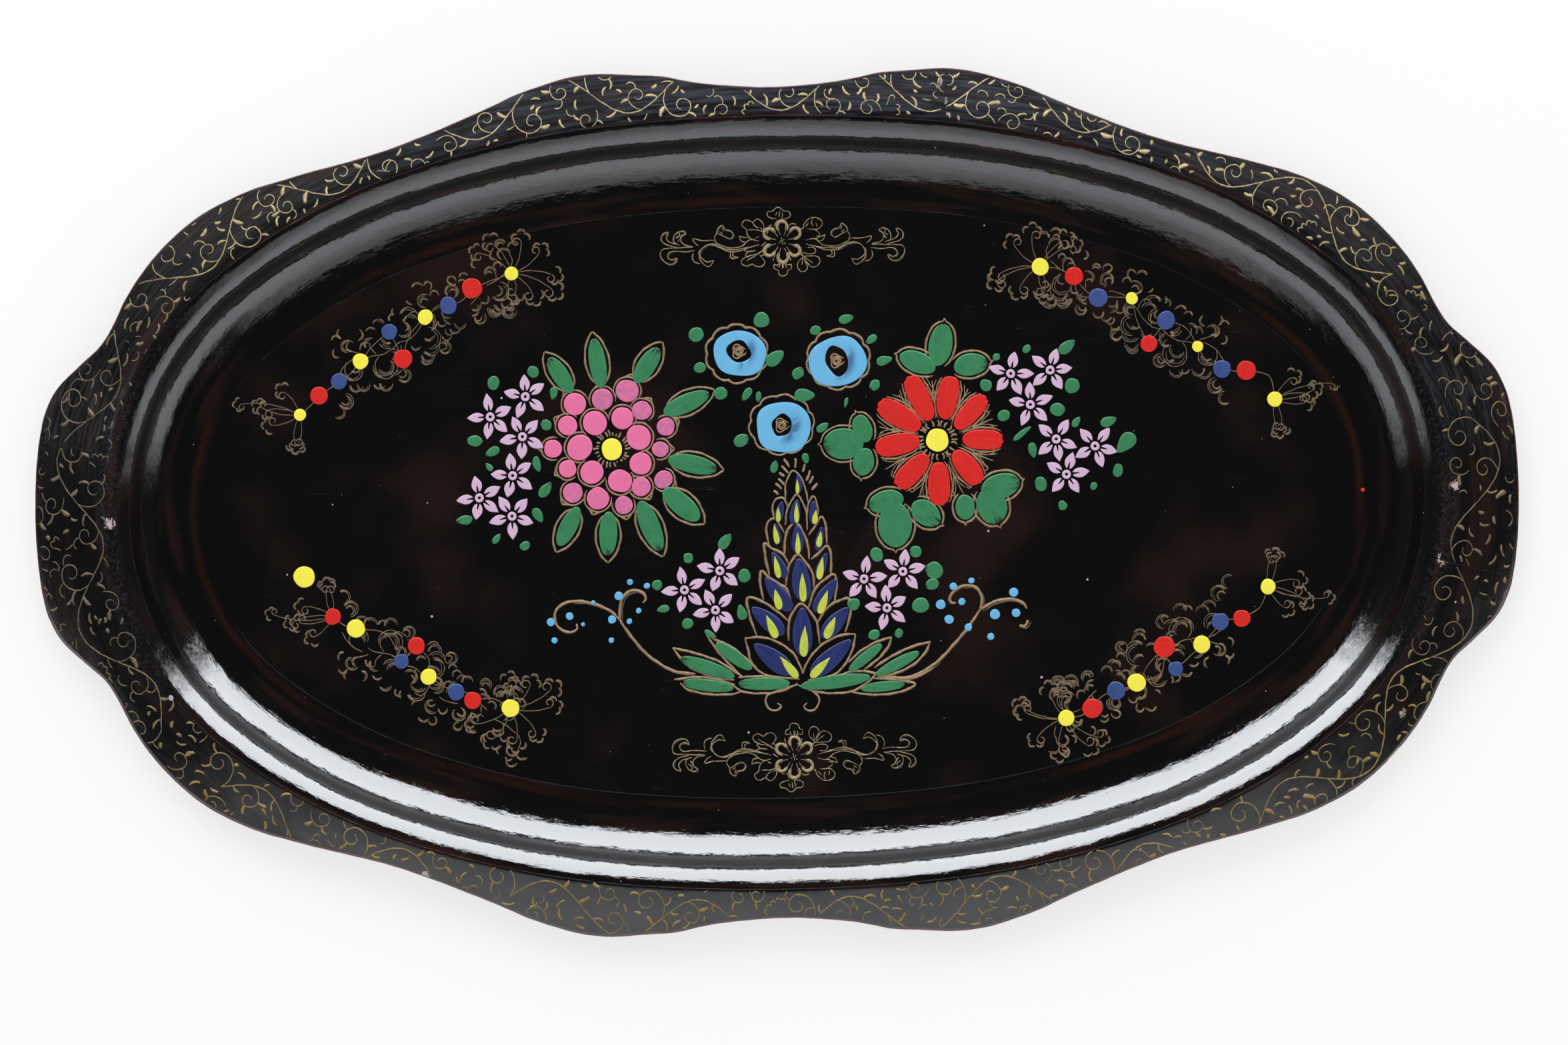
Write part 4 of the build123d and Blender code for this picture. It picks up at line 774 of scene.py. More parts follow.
def lacquer(name, kind):
    """Black lacquer.  kind: floor, cove or rim."""
    m = Nodes(name)
    p = m.pos()
    strip = kind != "floor"
    base = (0.0052, 0.0050, 0.0054)
    if strip:
        run, d = m.attr("run"), m.attr("d")
        along = m.track(p, d, 0.035, 1.0, 0.0)
        fine = m.noise(along, 1.6, 4.0, 0.62)
        broad = m.noise(m.track(p, d, 0.02, 0.16, 3.0), 1.0, 3.0, 0.5)
        wobble = m.math("MULTIPLY", m.math("SUBTRACT", m.noise(m.track(p, d, 0.05, 0.0, 7.0), 1.0, 3.0), 0.5), 3.0)
    else:
        along = m.scaled(p, (0.03, 1.0, 1.0))
        fine = m.noise(along, 1.2, 4.0, 0.6)
        broad = m.noise(p, 0.018, 3.0, 0.5)
    # red-brown where the upper coats are thin
    brown = (0.0200, 0.0100, 0.0085)
    color = m.mix(m.ramp(broad, 0.50, 0.70, 0.0, 0.80), base, brown)
    if kind == "cove":
        dd = m.math("ADD", d, wobble)
        ring = m.ramp(m.math("ABSOLUTE", m.math("ADD", dd, 31.0)), 2.4, 0.3, 0.0, 1.0)
        ring = m.math("MULTIPLY", ring, m.ramp(m.noise(m.track(p, d, 0.011, 0.0, 11.0), 1.0, 2.0), 0.44, 0.60))
        color = m.mix(m.math("MULTIPLY", ring, 0.85), color, (0.022, 0.0085, 0.0055))
    if strip:
        crown = m.ramp(m.math("ABSOLUTE", m.math("ADD", d, m.math("MULTIPLY", wobble, 0.5))), 3.2, 0.0, 0.0, 1.0)
        crown = m.math("MULTIPLY", crown, m.ramp(m.noise(m.track(p, d, 0.02, 0.3, 5.0), 1.0, 4.0), 0.46, 0.66))
        color = m.mix(m.math("MULTIPLY", crown, 0.75), color, (0.030, 0.0125, 0.0080))
    # bluish haze, part rubbing wear and part painted sheen, strongest at the two ends
    rub = m.noise(m.scaled(p, (1, 1, 1), (31, 7, 0)), 0.9, 6.0, 0.75)
    where = m.ramp(m.noise(m.scaled(p, (1, 1, 1), (5, 51, 0)), 0.03, 3.0), 0.50, 0.70)
    haze_and_sheen = m.math("MULTIPLY", m.ramp(rub, 0.54, 0.74), where)
    if strip:
        near = m.ramp(m.math("ABSOLUTE", m.math("SUBTRACT", d, 2.5 if kind == "rim" else -0.5)), 5.0, 0.0)
        edge = m.ramp(m.attr("edge"), 6.0, 0.0) if kind == "rim" else 0.0
        sep = m.new("ShaderNodeSeparateXYZ")
        m.put(sep.inputs[0], p)
        ends = m.ramp(m.math("ABSOLUTE", sep.outputs[0]), 215.0, 262.0)
        wear_and_sheen = m.math("MULTIPLY", m.math("MAXIMUM", near, edge), ends)
        ends_haze_and_sheen = m.math("MULTIPLY", m.ramp(rub, 0.45, 0.72), wear_and_sheen)
        haze_and_sheen = m.math("MAXIMUM", m.math("MULTIPLY", haze_and_sheen, 0.35), ends_haze_and_sheen)
    else:
        haze_and_sheen = m.math("MULTIPLY", haze_and_sheen, 0.10)
    # the bluish tint is partly rubbed lacquer and partly a painted sheen standing in for reflected light
    color = m.mix(m.math("MULTIPLY", haze_and_sheen, 0.50), color, (0.060, 0.068, 0.085))
    # scratches and dust
    sc = m.math("MAXIMUM", scratches(m, p, (3, 8, 0), 0.6, 0.35), scratches(m, p, (61, 2, 0), 2.2, 0.30))
    sc = m.math("MAXIMUM", sc, scratches(m, p, (17, 90, 0), -0.35, 0.30))
    color = m.mix(sc, color, (0.16, 0.165, 0.17))
    dust = m.math("MAXIMUM", specks(m, p, 0.105, 0.055, (2, 3, 0)), specks(m, p, 0.26, 0.055, (9, 4, 0)))
    color = m.mix(m.math("MULTIPLY", dust, 0.75), color, (0.55, 0.56, 0.58))
    rough_extra = m.math("MULTIPLY", dust, 0.5)
    if strip:
        # chips through to the ground coat, at (run, d, size)
        chips = 0.0
        tone = m.noise(p, 2.2, 4.0, 0.6)
        for (cr, cd, size, squash) in CHIPS[kind]:
            q = m.vec(m.math("SUBTRACT", run, cr), m.math("MULTIPLY", m.math("SUBTRACT", d, cd), squash), 0.0)
            ln = m.new("ShaderNodeVectorMath", operation="LENGTH")
            m.put(ln.inputs[0], q)
            e = m.math("ADD", ln.outputs["Value"], m.math("MULTIPLY", m.math("SUBTRACT", m.noise(p, 0.9, 4.0, 0.75), 0.5), size * 3.4))
            c = m.math("LESS_THAN", e, size * 0.72)
            chips = c if chips == 0.0 else m.math("MAXIMUM", chips, c)
        chip_color = m.mix(m.ramp(tone, 0.40, 0.62), (0.30, 0.22, 0.24), (0.56, 0.46, 0.50))
        color = m.mix(chips, color, chip_color)
        rough_extra = m.math("MAXIMUM", rough_extra, m.math("MULTIPLY", chips, 0.55))
    # surface: brush drag, faint pimples, dents where chipped
    if strip:
        drag = m.bump(fine, 0.0000060 if kind == "rim" else 0.0000300, 1.0)
        dist = m.noise(m.track(p, d, 0.12, 0.42, 0.0), 1.0, 3.0, 0.55)
        nrm = m.bump(dist, 0.000050 if kind == "rim" else 0.000170, 1.0, drag)
        nrm = m.bump(m.math("SUBTRACT", 1.0, chips), 0.00012, 1.0, nrm)
    else:
        nrm = m.bump(fine, 0.0000030, 1.0)
    if kind == "rim":
        sep2 = m.new("ShaderNodeSeparateXYZ")
        m.put(sep2.inputs[0], p)
        streak = m.ramp(m.noise(m.track(p, d, 0.055, 0.8, 2.0), 1.0, 4.0, 0.65), 0.40, 0.66)
        upper = m.ramp(sep2.outputs[1], -10.0, 62.0)
        dull = m.math("MULTIPLY", upper, m.ramp(streak, 0.0, 1.0, 0.12, 0.34))
        rough = m.math("ADD", m.ramp(fine, 0.3, 0.7, 0.10, 0.17), dull)
        spec = m.math("SUBTRACT", 0.5, m.math("MULTIPLY", upper, m.ramp(streak, 0.0, 1.0, 0.485, 0.455)))
        # painted reflection: a bluish sheen in the colour, strong on the upper middle of the rim where the light's
        # reflection falls, and faint streaks of it all round
        sheen = m.math("MULTIPLY", m.ramp(sep2.outputs[1], 112.0, 145.0), m.ramp(m.math("ABSOLUTE", sep2.outputs[0]), 200.0, 80.0))
        color = m.mix(m.math("MULTIPLY", m.math("ADD", sheen, 0.06), m.math("MULTIPLY", streak, 0.42)), color, (0.034, 0.042, 0.062))
    else:
        rough = m.ramp(fine, 0.3, 0.7, 0.045, 0.10)
        spec = 0.5
    rough = m.math("ADD", rough, rough_extra, clamp=True)
    return m.finish(color, rough, normal=nrm, ior=1.62, specular=spec,
                    flat=m.ramp(d, -28.0, -20.0, 1.0, 0.0) if kind == "cove" else True)


def enamel(name, color, dark, streak=0.5, thin=0.0, light=None, light_at=0.0,
           thin_color=(0.004, 0.006, 0.005)):
    """Raised enamel: brushed, a little uneven in thickness."""
    m = Nodes(name)
    p = m.pos()
    seed, along, across = m.attr("seed"), m.attr("along"), m.attr("across")
    seed10 = m.math("MULTIPLY", seed, 37.0)
    v = m.vec(m.math("MULTIPLY", across, 2.6), m.math("MULTIPLY", along, 0.55), seed10)
    brush = m.noise(v, 1.6, 4.0, 0.55, 0.4)
    blotch = m.noise(m.scaled(p, (1, 1, 1), (4, 9, 2)), 0.30, 3.0, 0.5)
    f = m.math("MULTIPLY", m.ramp(brush, 0.45, 0.78), m.ramp(seed, 0.0, 1.0, 0.25, 1.0))
    c = m.mix(m.math("MULTIPLY", f, streak), color, dark)
    c = m.mix(m.ramp(blotch, 0.50, 0.80, 0.0, streak * 0.5), c, dark)
    if light is not None:
        c = m.mix(m.ramp(m.math("ADD", m.math("ABSOLUTE", across), m.math("MULTIPLY", brush, 0.5)), 0.85, 1.15, 0.0, light_at), c, light)
    if thin > 0:
        tip = m.ramp(m.math("ADD", along, m.math("MULTIPLY", m.math("SUBTRACT", brush, 0.5), 1.6)), 0.74, 1.05)
        spot = m.ramp(m.noise(v, 3.4, 5.0, 0.7), 0.66, 0.73)
        pick = m.math("GREATER_THAN", m.math("FRACT", m.math("MULTIPLY", seed, 7.31)), 0.45)
        hole = m.math("MULTIPLY", m.math("MAXIMUM", tip, m.math("MULTIPLY", spot, 0.8)), m.math("MULTIPLY", pick, thin))
        c = m.mix(hole, c, thin_color)
    pits = m.voronoi(m.scaled(p, (1, 1, 1), (1, 1, 5)), 0.9)
    pit = m.ramp(pits, 0.05, 0.11, 0.0, 1.0)
    rare = m.ramp(m.noise(p, 0.8, 2.0), 0.60, 0.64)
    c = m.mix(m.math("MULTIPLY", m.math("SUBTRACT", 1.0, pit), m.math("MULTIPLY", rare, 0.7)), c, dark)
    dust = specks(m, p, 0.20, 0.06, (7, 7, 0))
    c = m.mix(m.math("MULTIPLY", dust, 0.6), c, (0.7, 0.7, 0.7))
    h = m.math("ADD", m.math("MULTIPLY", brush, 1.0), m.math("MULTIPLY", pit, 0.15))
    nrm = m.bump(h, 0.00010, 1.0)
    return m.finish(c, m.ramp(brush, 0.3, 0.7, 0.30, 0.46), normal=nrm, ior=1.48, specular=0.45)


def gold(name):
    m = Nodes(name)
    p = m.pos()
    tint = m.attr("tint", "Color")
    n1 = m.noise(p, 0.9, 4.0, 0.6)
    n2 = m.noise(m.scaled(p, (1, 1, 1), (9, 3, 1)), 3.5, 3.0, 0.6)
    c = m.mix(m.ramp(n1, 0.35, 0.70, 0.0, 0.42), tint, (0.10, 0.070, 0.045))
    c = m.mix(m.ramp(n2, 0.62, 0.74, 0.0, 0.55), c, (0.045, 0.032, 0.022))
    nrm = m.bump(n2, 0.00004, 1.0)
    return m.finish(c, m.ramp(n1, 0.3, 0.7, 0.42, 0.62), metallic=0.15, normal=nrm, ior=1.5, specular=0.25)


def brown_lacquer(name, edge=False):
    m = Nodes(name)
    p = m.pos()
    n1 = m.noise(p, 0.05, 4.0, 0.55)
    n2 = m.noise(m.scaled(p, (0.05, 1, 1)), 1.1, 4.0, 0.6)
    c = m.mix(m.ramp(n1, 0.35, 0.68), (0.100, 0.030, 0.020), (0.052, 0.016, 0.012))
    c = m.mix(m.ramp(n2, 0.50, 0.75, 0.0, 0.5), c, (0.020, 0.009, 0.007))
    rub = m.noise(m.scaled(p, (1, 1, 1), (8, 8, 8)), 0.6, 6.0, 0.75)
    if edge:
        c = m.mix(m.ramp(rub, 0.50, 0.66, 0.0, 0.65), c, (0.20, 0.070, 0.055))
        c = m.mix(m.ramp(rub, 0.66, 0.72, 0.0, 0.7), c, (0.40, 0.26, 0.16))
        # one bruise shows the straw-coloured board
        q = m.new("ShaderNodeVectorMath", operation="DISTANCE")
        m.put(q.inputs[0], p)
        q.inputs[1].default_value = (238.7, -101.7, 10.0)
        e = m.math("ADD", q.outputs["Value"], m.math("MULTIPLY", m.noise(p, 0.7, 4.0, 0.7), 5.0))
        c = m.mix(m.math("LESS_THAN", e, 7.6), c, m.mix(m.noise(p, 2.0, 3.0), (0.42, 0.29, 0.15), (0.70, 0.55, 0.34)))
    else:
        ring = m.ramp(rub, 0.52, 0.70, 0.0, 0.35)
        c = m.mix(ring, c, (0.16, 0.085, 0.06))
        sc = m.math("MAXIMUM", scratches(m, p, (13, 8, 0), 0.9, 0.5), scratches(m, p, (71, 12, 0), -0.5, 0.4))
        c = m.mix(sc, c, (0.28, 0.20, 0.15))
    dust = specks(m, p, 0.12, 0.05, (5, 3, 0))
    c = m.mix(m.math("MULTIPLY", dust, 0.5), c, (0.5, 0.48, 0.45))
    nrm = m.bump(n2, 0.000025, 1.0)
    nrm = m.bump(rub, 0.00005, 1.0, nrm)
    return m.finish(c, m.ramp(rub, 0.35, 0.7, 0.30, 0.55), normal=nrm, ior=1.52, specular=0.4)


def pressed_board(name):
    m = Nodes(name)
    p = m.pos()
    fibre = m.noise(m.scaled(p, (0.25, 1.0, 2.5)), 1.3, 6.0, 0.7, 0.6)
    blot = m.noise(p, 0.07, 3.0, 0.5)
    sep = m.new("ShaderNodeSeparateXYZ")
    m.put(sep.inputs[0], p)
    ply = m.noise(m.vec(0.0, m.math("MULTIPLY", sep.outputs[2], 3.0), 0.0), 1.2, 2.0, 0.5)
    c = m.mix(m.ramp(fibre, 0.35, 0.70), (0.56, 0.44, 0.29), (0.40, 0.30, 0.19))
    c = m.mix(m.ramp(blot, 0.45, 0.75, 0.0, 0.5), c, (0.30, 0.21, 0.13))
    c = m.mix(m.ramp(ply, 0.5, 0.7, 0.0, 0.35), c, (0.22, 0.15, 0.09))
    return m.finish(c, m.ramp(fibre, 0.3, 0.7, 0.80, 0.95), normal=m.bump(fibre, 0.00012, 1.0), specular=0.2)


def crest_run_of(x, y):
    px, py, _, _ = crest(TAB_RUN)
    return float(TAB_RUN[np.argmin((px - x) ** 2 + (py - y) ** 2)])


def crest_place(x, y, size, squash=1.0):
    """Chip at a plan point, as run, d and size."""
    run = crest_run_of(x, y)
    px, py, nx, ny = crest(run)
    return (run, float((x - px) * nx + (y - py) * ny), size, squash)


chip_list = [crest_place(-260.0, -3.9, 2.5), crest_place(264.1, 2.4, 2.1),
             crest_place(258.7, -26.3, 2.7), crest_place(242.3, -86.4, 1.6),
             crest_place(-139.9, -143.0, 2.0), crest_place(-237.0, -72.0, 1.2),
             crest_place(68.9, 150.0, 0.8)]
CHIPS = {"rim": [c for c in chip_list if c[1] > -1.5] + [(268.0, 16.0, 0.7, 0.25), (265.4, 9.0, 0.6, 0.35)],
         "cove": [c for c in chip_list if c[1] <= 3.0]}

MAT_FLOOR = lacquer("lacquer_floor", "floor")
MAT_COVE = lacquer("lacquer_cove", "cove")
MAT_RIM = lacquer("lacquer_rim", "rim")
MAT_GOLD = gold("gold_brushwork")
MAT_BROWN = brown_lacquer("brown_lacquer_under")
MAT_EDGE = brown_lacquer("brown_lacquer_edge", edge=True)
MAT_BOARD = pressed_board("pressed_board_core")

# --------------------------------------------------------------- the sheets

STEP = 1.34
TIGHT = 0.012          # seams are filled with lacquer on the upper face
runs = np.linspace(0, LENGTH, int(LENGTH / STEP), endpoint=False)

skin("cove_face", runs, D_FLOOR + TIGHT, D_CREST_SEAM - TIGHT, 0.0, T1,
     62, 9, True, MAT_COVE, ["cove_lining"], rounding=0.02)

strip_spans = {
    "rim_face_upper_right": (RIM_SEAMS[3] - LENGTH, RIM_SEAMS[0], "rim_strip_upper_right"),
    "rim_face_upper_left": (RIM_SEAMS[0], RIM_SEAMS[1], "rim_strip_upper_left"),
    "rim_face_lower_left": (RIM_SEAMS[1], RIM_SEAMS[2], "rim_strip_lower_left"),
    "rim_face_lower_right": (RIM_SEAMS[2], RIM_SEAMS[3], "rim_strip_lower_right"),
}
for name, (a, b, node) in strip_spans.items():
    rr = spans(a + TIGHT * 2, b - TIGHT * 2, 1.0)
    skin(name, rr, D_CREST_SEAM + TIGHT, edge_d(rr), 0.0, T1, 30, 8, False,
         MAT_RIM, [node], rounding=0.02)

skin("wall_under", runs, D_FLOOR + SEAM / 2, edge_d(runs), T4, T5, 46, 46, True,
     MAT_BROWN, ["wall_backing"], ripples=False)


def disc(name, z_top, z_bot, material, replaces, top_wave):
    """Flat oval sheet."""
    n = 720
    s = np.linspace(0, LENGTH, n, endpoint=False)
    x, y, nx, ny = crest(s)
    bx, by = x + nx * (D_FLOOR - TIGHT), y + ny * (D_FLOOR - TIGHT)
    scales = np.concatenate([np.linspace(0.02, 0.98, 44), [0.9975, 0.99995, 1.0]])
    rows, V = [], []
    for k, q in enumerate(scales):
        wave = top_wave * (np.sin(bx * q * 0.045 + 1.0) + np.sin(by * q * 0.06 + bx * q * 0.02))
        z = z_top + wave * min(1.0, (1 - q) * 12)
        if q > 0.9999:
            z = z_top + 0 * bx
        V.append(np.stack([bx * q, by * q, z], axis=1))
    V.append(np.stack([bx, by, np.full(n, z_bot)], axis=1))
    V.append(np.stack([bx * 0.5, by * 0.5, np.full(n, z_bot)], axis=1))
    rings = len(V)
    V = np.concatenate(V)
    f = grid_faces(rings, n, False, True)
    return make_object(name, V, [f, list(range(n)),
                                 list(range((rings - 1) * n, rings * n))[::-1]],
                       material, replaces=replaces)


disc("floor_face", FLOOR_TOP, FLOOR_TOP - T1, MAT_FLOOR,
     ["floor_lining"], 0.012)
disc("floor_under", 0.50, 0.0, MAT_BROWN, ["floor_backing"], 0.0)

# edge binding: a thin strip wrapped round the edge
outer, inner = reach(runs, 0.0), reach(runs, BIND)
loop = [(0.0, 0.02), (0.45, 0.0), (0.75, 0.06), (0.93, 0.22), (1.0, 0.55),
        (1.0, 1.4), (1.0, 2.2), (1.0, T5 - 0.55), (0.93, T5 - 0.22),
        (0.75, T5 - 0.06), (0.45, T5), (0.0, T5 - 0.02), (0.0, 2.2), (0.0, 1.2)]
w = np.array([p[0] for p in loop])
t = np.array([p[1] for p in loop])
nib = 0.035 * np.sin(runs * 0.31) + 0.03 * np.sin(runs * 0.83 + 1.0) + 0.02 * np.sin(runs * 2.1)
D = inner[:, None] + ((outer - inner)[:, None] - 0.08 + nib[:, None]) * w[None, :]
R = np.broadcast_to(runs[:, None], D.shape)
V = surface(R, D, t[None, :], ripple(R, D) * (t < 1.0)[None, :])
make_object("edge_band", V.reshape(-1, 3), [grid_faces(len(runs), len(loop), True, True)],
            MAT_EDGE, attrs={"run": R.ravel(), "d": D.ravel()},
            replaces=["edge_binding"])

for node in ("floor_board", "cove_wall", "rim_flange"):
    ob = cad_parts[node]
    ob.data.materials.clear()
    ob.data.materials.append(MAT_BOARD)

# ------------------------------------------------------------- the enamel


class Dabs:
    """Collects domed dabs of paint into one mesh."""

    def __init__(self):
        self.v, self.q, self.caps = [], [], []
        self.seed, self.along, self.across = [], [], []
        self.n = 0

    def add(self, ring, centre, turn, half, height=0.36, base=FLOOR_TOP, seed=None):
        """ring: (N,2) outline in mm, star-shaped about centre."""
        ring = np.asarray(ring, float)
        c = np.asarray(centre, float)
        n = len(ring)
        rel = ring - c
        rad = np.linalg.norm(rel, axis=1)
        seed = rng.random() if seed is None else seed
        steps = [(0.0, -0.06), (0.0, 0.08), (0.04, 0.19), (0.12, 0.28),
                 (0.32, 0.335), (0.75, 0.35)]
        rows = []
        for inset, h in steps:
            k = np.clip(1 - inset / np.maximum(rad, 0.3), 0.35, 1.0)
            rows.append((k, h))
        rows.append((np.full(n, 0.30), 0.36))
        ph = rng.random(2) * 6.28
        for k, h in rows:
            xy = c + rel * k[:, None]
            z = base + (h / 0.36) * height
            if h > 0.25:
                z = z + 0.022 * np.sin(xy[:, 0] * 0.9 + ph[0]) * np.cos(xy[:, 1] * 0.8 + ph[1])
            self._row(xy, z, c, turn, half, seed)
        m = len(rows)
        i, j = np.meshgrid(np.arange(m - 1), np.arange(n), indexing="ij")
        j2 = (j + 1) % n
        self.q.append((self.n + np.stack([i * n + j, i * n + j2, (i + 1) * n + j2,
                                          (i + 1) * n + j], -1)).reshape(-1, 4))
        self.caps.append([self.n + (m - 1) * n + k for k in range(n)])
        self.caps.append([self.n + k for k in range(n)][::-1])
        self.n += m * n

    def _row(self, xy, z, c, turn, half, seed):
        co, si = math.cos(turn), math.sin(turn)
        rx, ry = xy[:, 0] - c[0], xy[:, 1] - c[1]
        self.v.append(np.stack([xy[:, 0], xy[:, 1], np.broadcast_to(z, xy[:, 0].shape)], 1))
        self.along.append((rx * co + ry * si) / half[0])
        self.across.append((-rx * si + ry * co) / half[1])
        self.seed.append(np.full(len(xy), seed))

    def ring(self, outer, inner, centre, turn, half, height=0.36, seed=None):
        """A dab with a hole."""
        outer, inner = np.asarray(outer, float), np.asarray(inner, float)
        n = len(outer)
        seed = rng.random() if seed is None else seed
        gap = np.linalg.norm(outer - inner, axis=1)
        profile = [(0.0, -0.06), (0.0, 0.08), (0.05, 0.2), (0.16, 0.3), (0.4, 0.35)]
        rows = []
        for inset, h in profile:
            rows.append((np.clip(inset / gap, 0, 0.3), h))
        rows.append((np.full(n, 0.5), 0.37))
        for inset, h in profile[::-1]:
            rows.append((1 - np.clip(inset / gap, 0, 0.3), h))
        c = np.asarray(centre, float)
        for k, h in rows:
            xy = outer + (inner - outer) * k[:, None]
            self._row(xy, FLOOR_TOP + h / 0.36 * height, c, turn, half, seed)
        m = len(rows)
        i, j = np.meshgrid(np.arange(m), np.arange(n), indexing="ij")
        i2, j2 = (i + 1) % m, (j + 1) % n
        self.q.append((self.n + np.stack([i * n + j, i * n + j2, i2 * n + j2,
                                          i2 * n + j], -1)).reshape(-1, 4))
        self.n += m * n

    def build(self, name, material, slot, nodes):
        faces = [np.concatenate(self.q)] + self.caps
        return make_object(name, np.concatenate(self.v), faces, material,
                           attrs={"seed": np.concatenate(self.seed),
                                  "along": np.concatenate(self.along),
                                  "across": np.concatenate(self.across)},
                           replaces=nodes)


def wobble(n, amount, lobes=4):
    a = np.arange(n) * 2 * math.pi / n
    w = np.ones(n)
    for k in range(2, 2 + lobes):
        w += amount / k * rng.standard_normal() * np.cos(k * a + rng.random() * 6.28)
    return w


def oval_ring(x, y, a, b, turn, n=40, amount=0.04, power=2.0):
    """Oval outline, squarer as power rises."""
    q = np.arange(n) * 2 * math.pi / n
    c, s = np.cos(q), np.sin(q)
    u = np.sign(c) * np.abs(c) ** (2 / power) * a
    v = np.sign(s) * np.abs(s) ** (2 / power) * b
    w = wobble(n, amount)
    return rotated(x, y, u * w, v * w, turn)


def rotated(x, y, u, v, turn):
    t = math.radians(turn)
    return np.stack([x + u * math.cos(t) - v * math.sin(t),
                     y + u * math.sin(t) + v * math.cos(t)], axis=1)


def drop_ring(x, y, a, b, turn, n=40, point=0.45, amount=0.02):
    """Teardrop with its point at +turn."""
    q = np.arange(n) * 2 * math.pi / n
    u = a * np.cos(q)
    v = b * np.sin(q) * (1 - point * (0.5 + 0.5 * np.cos(q)) ** 1.3)
    w = wobble(n, amount)
    return rotated(x, y, u * w, v * w, turn)


def lens_ring(x, y, a, b, turn, n=40, p=1.35, amount=0.02):
    """Leaf pointed at both ends."""
    q = np.arange(n) * 2 * math.pi / n
    u = a * np.cos(q)
    v = b * np.sign(np.sin(q)) * np.abs(np.sin(q)) ** p
    w = wobble(n, amount)
    return rotated(x, y, u * w, v * w, turn)


def turn_out(x, y, cx, cy, turn):
    """The direction along turn (or its reverse) that points away from c."""
    away = math.degrees(math.atan2(y - cy, x - cx))
    return turn if math.cos(math.radians(turn - away)) > 0 else turn + 180.0


C_YELLOW = srgb(0.985, 0.945, 0.30)
C_RED = scale_color(srgb(0.93, 0.12, 0.09), LIT)
C_NAVY_DOT = scale_color(srgb(0.235, 0.335, 0.59), LIT)
C_NAVY = scale_color(srgb(0.135, 0.19, 0.44), 0.70)
C_SKY = scale_color(srgb(0.46, 0.79, 0.98), LIT)
C_PINK = scale_color(srgb(1.0, 0.49, 0.70), LIT)
C_GREEN = scale_color(srgb(0.225, 0.55, 0.355), LIT)
C_LILAC = scale_color(srgb(0.93, 0.79, 0.915), LIT)

dabs = Dabs()
for x, y, r in YELLOW_DOTS:
    dabs.add(oval_ring(x, y, r, r, 0, amount=0.035), (x, y), rng.random() * 3, (r, r))
dabs.build("yellow_paint", enamel("enamel_yellow", C_YELLOW, srgb(0.93, 0.87, 0.20), 0.6), "yellow_enamel", ["yellow_dots"])

dabs = Dabs()
for x, y, r in RED_DOTS:
    dabs.add(oval_ring(x, y, r, r, 0, amount=0.03), (x, y), rng.random() * 3, (r, r))
dabs.build("red_dot_paint", enamel("enamel_red_dots", C_RED, scale_color(srgb(0.80, 0.06, 0.06), LIT), 0.5), "red_enamel", ["red_dots"])

dabs = Dabs()
for k, (x, y, a, b, turn) in enumerate(RED_PETALS):
    turn = turn_out(x, y, 63.3, 23.4, turn)
    n = 56
    q = np.arange(n) * 2 * math.pi / n
    c, s = np.cos(q), np.sin(q)
    u = np.sign(c) * np.abs(c) ** 0.80 * a
    v = np.sign(s) * np.abs(s) ** 0.78 * b * (0.92 + 0.10 * c)
    jag = np.where(c > 0.72, 0.30 * np.sin(q * 13 + k), 0.0) * (k % 3 != 1)
    w = wobble(n, 0.02)
    dabs.add(rotated(x, y, u * w + jag, v * w, turn), (x, y), math.radians(turn), (a, b))
dabs.build("red_petal_paint", enamel("enamel_red", C_RED, scale_color(srgb(0.66, 0.05, 0.05), LIT), 0.45), "red_enamel", ["red_flower_petals"])

dabs = Dabs()
for x, y, r in NAVY_DOTS:
    dabs.add(oval_ring(x, y, r, r, 0, amount=0.04), (x, y), rng.random() * 3, (r, r))
dabs.build("navy_dot_paint", enamel("enamel_navy_dots", C_NAVY_DOT, scale_color(srgb(0.12, 0.21, 0.42), LIT), 0.85), "navy_enamel", ["navy_dots"])

dabs = Dabs()
for x, y, a, b, turn in LUPINE_PETALS:
    dabs.add(drop_ring(x, y, a, b, turn, point=0.42), (x, y), math.radians(turn), (a, b))
dabs.build("lupine_petal_paint", enamel("enamel_navy", C_NAVY, scale_color(srgb(0.07, 0.09, 0.22), LIT), 0.8,
                                        light=scale_color(srgb(0.10, 0.30, 0.52), LIT), light_at=0.35), "navy_enamel", ["lupine_petals"])

dabs = Dabs()
for x, y, a, b, turn in LUPINE_HIGHLIGHTS:
    dabs.add(drop_ring(x, y, a * 1.04, b * 1.22, turn, point=0.78, amount=0.03), (x, y), math.radians(turn), (a, b),
             height=ENAMEL * 0.65, base=FLOOR_TOP + ENAMEL)
dabs.build("lupine_highlight_paint", enamel("enamel_yellow_green", scale_color(srgb(0.865, 0.90, 0.33), LIT),
                                            scale_color(srgb(0.53, 0.66, 0.25), LIT), 1.0,
                                            light=scale_color(srgb(0.62, 0.74, 0.25), LIT), light_at=0.6), "yellow_enamel", ["lupine_highlights"])

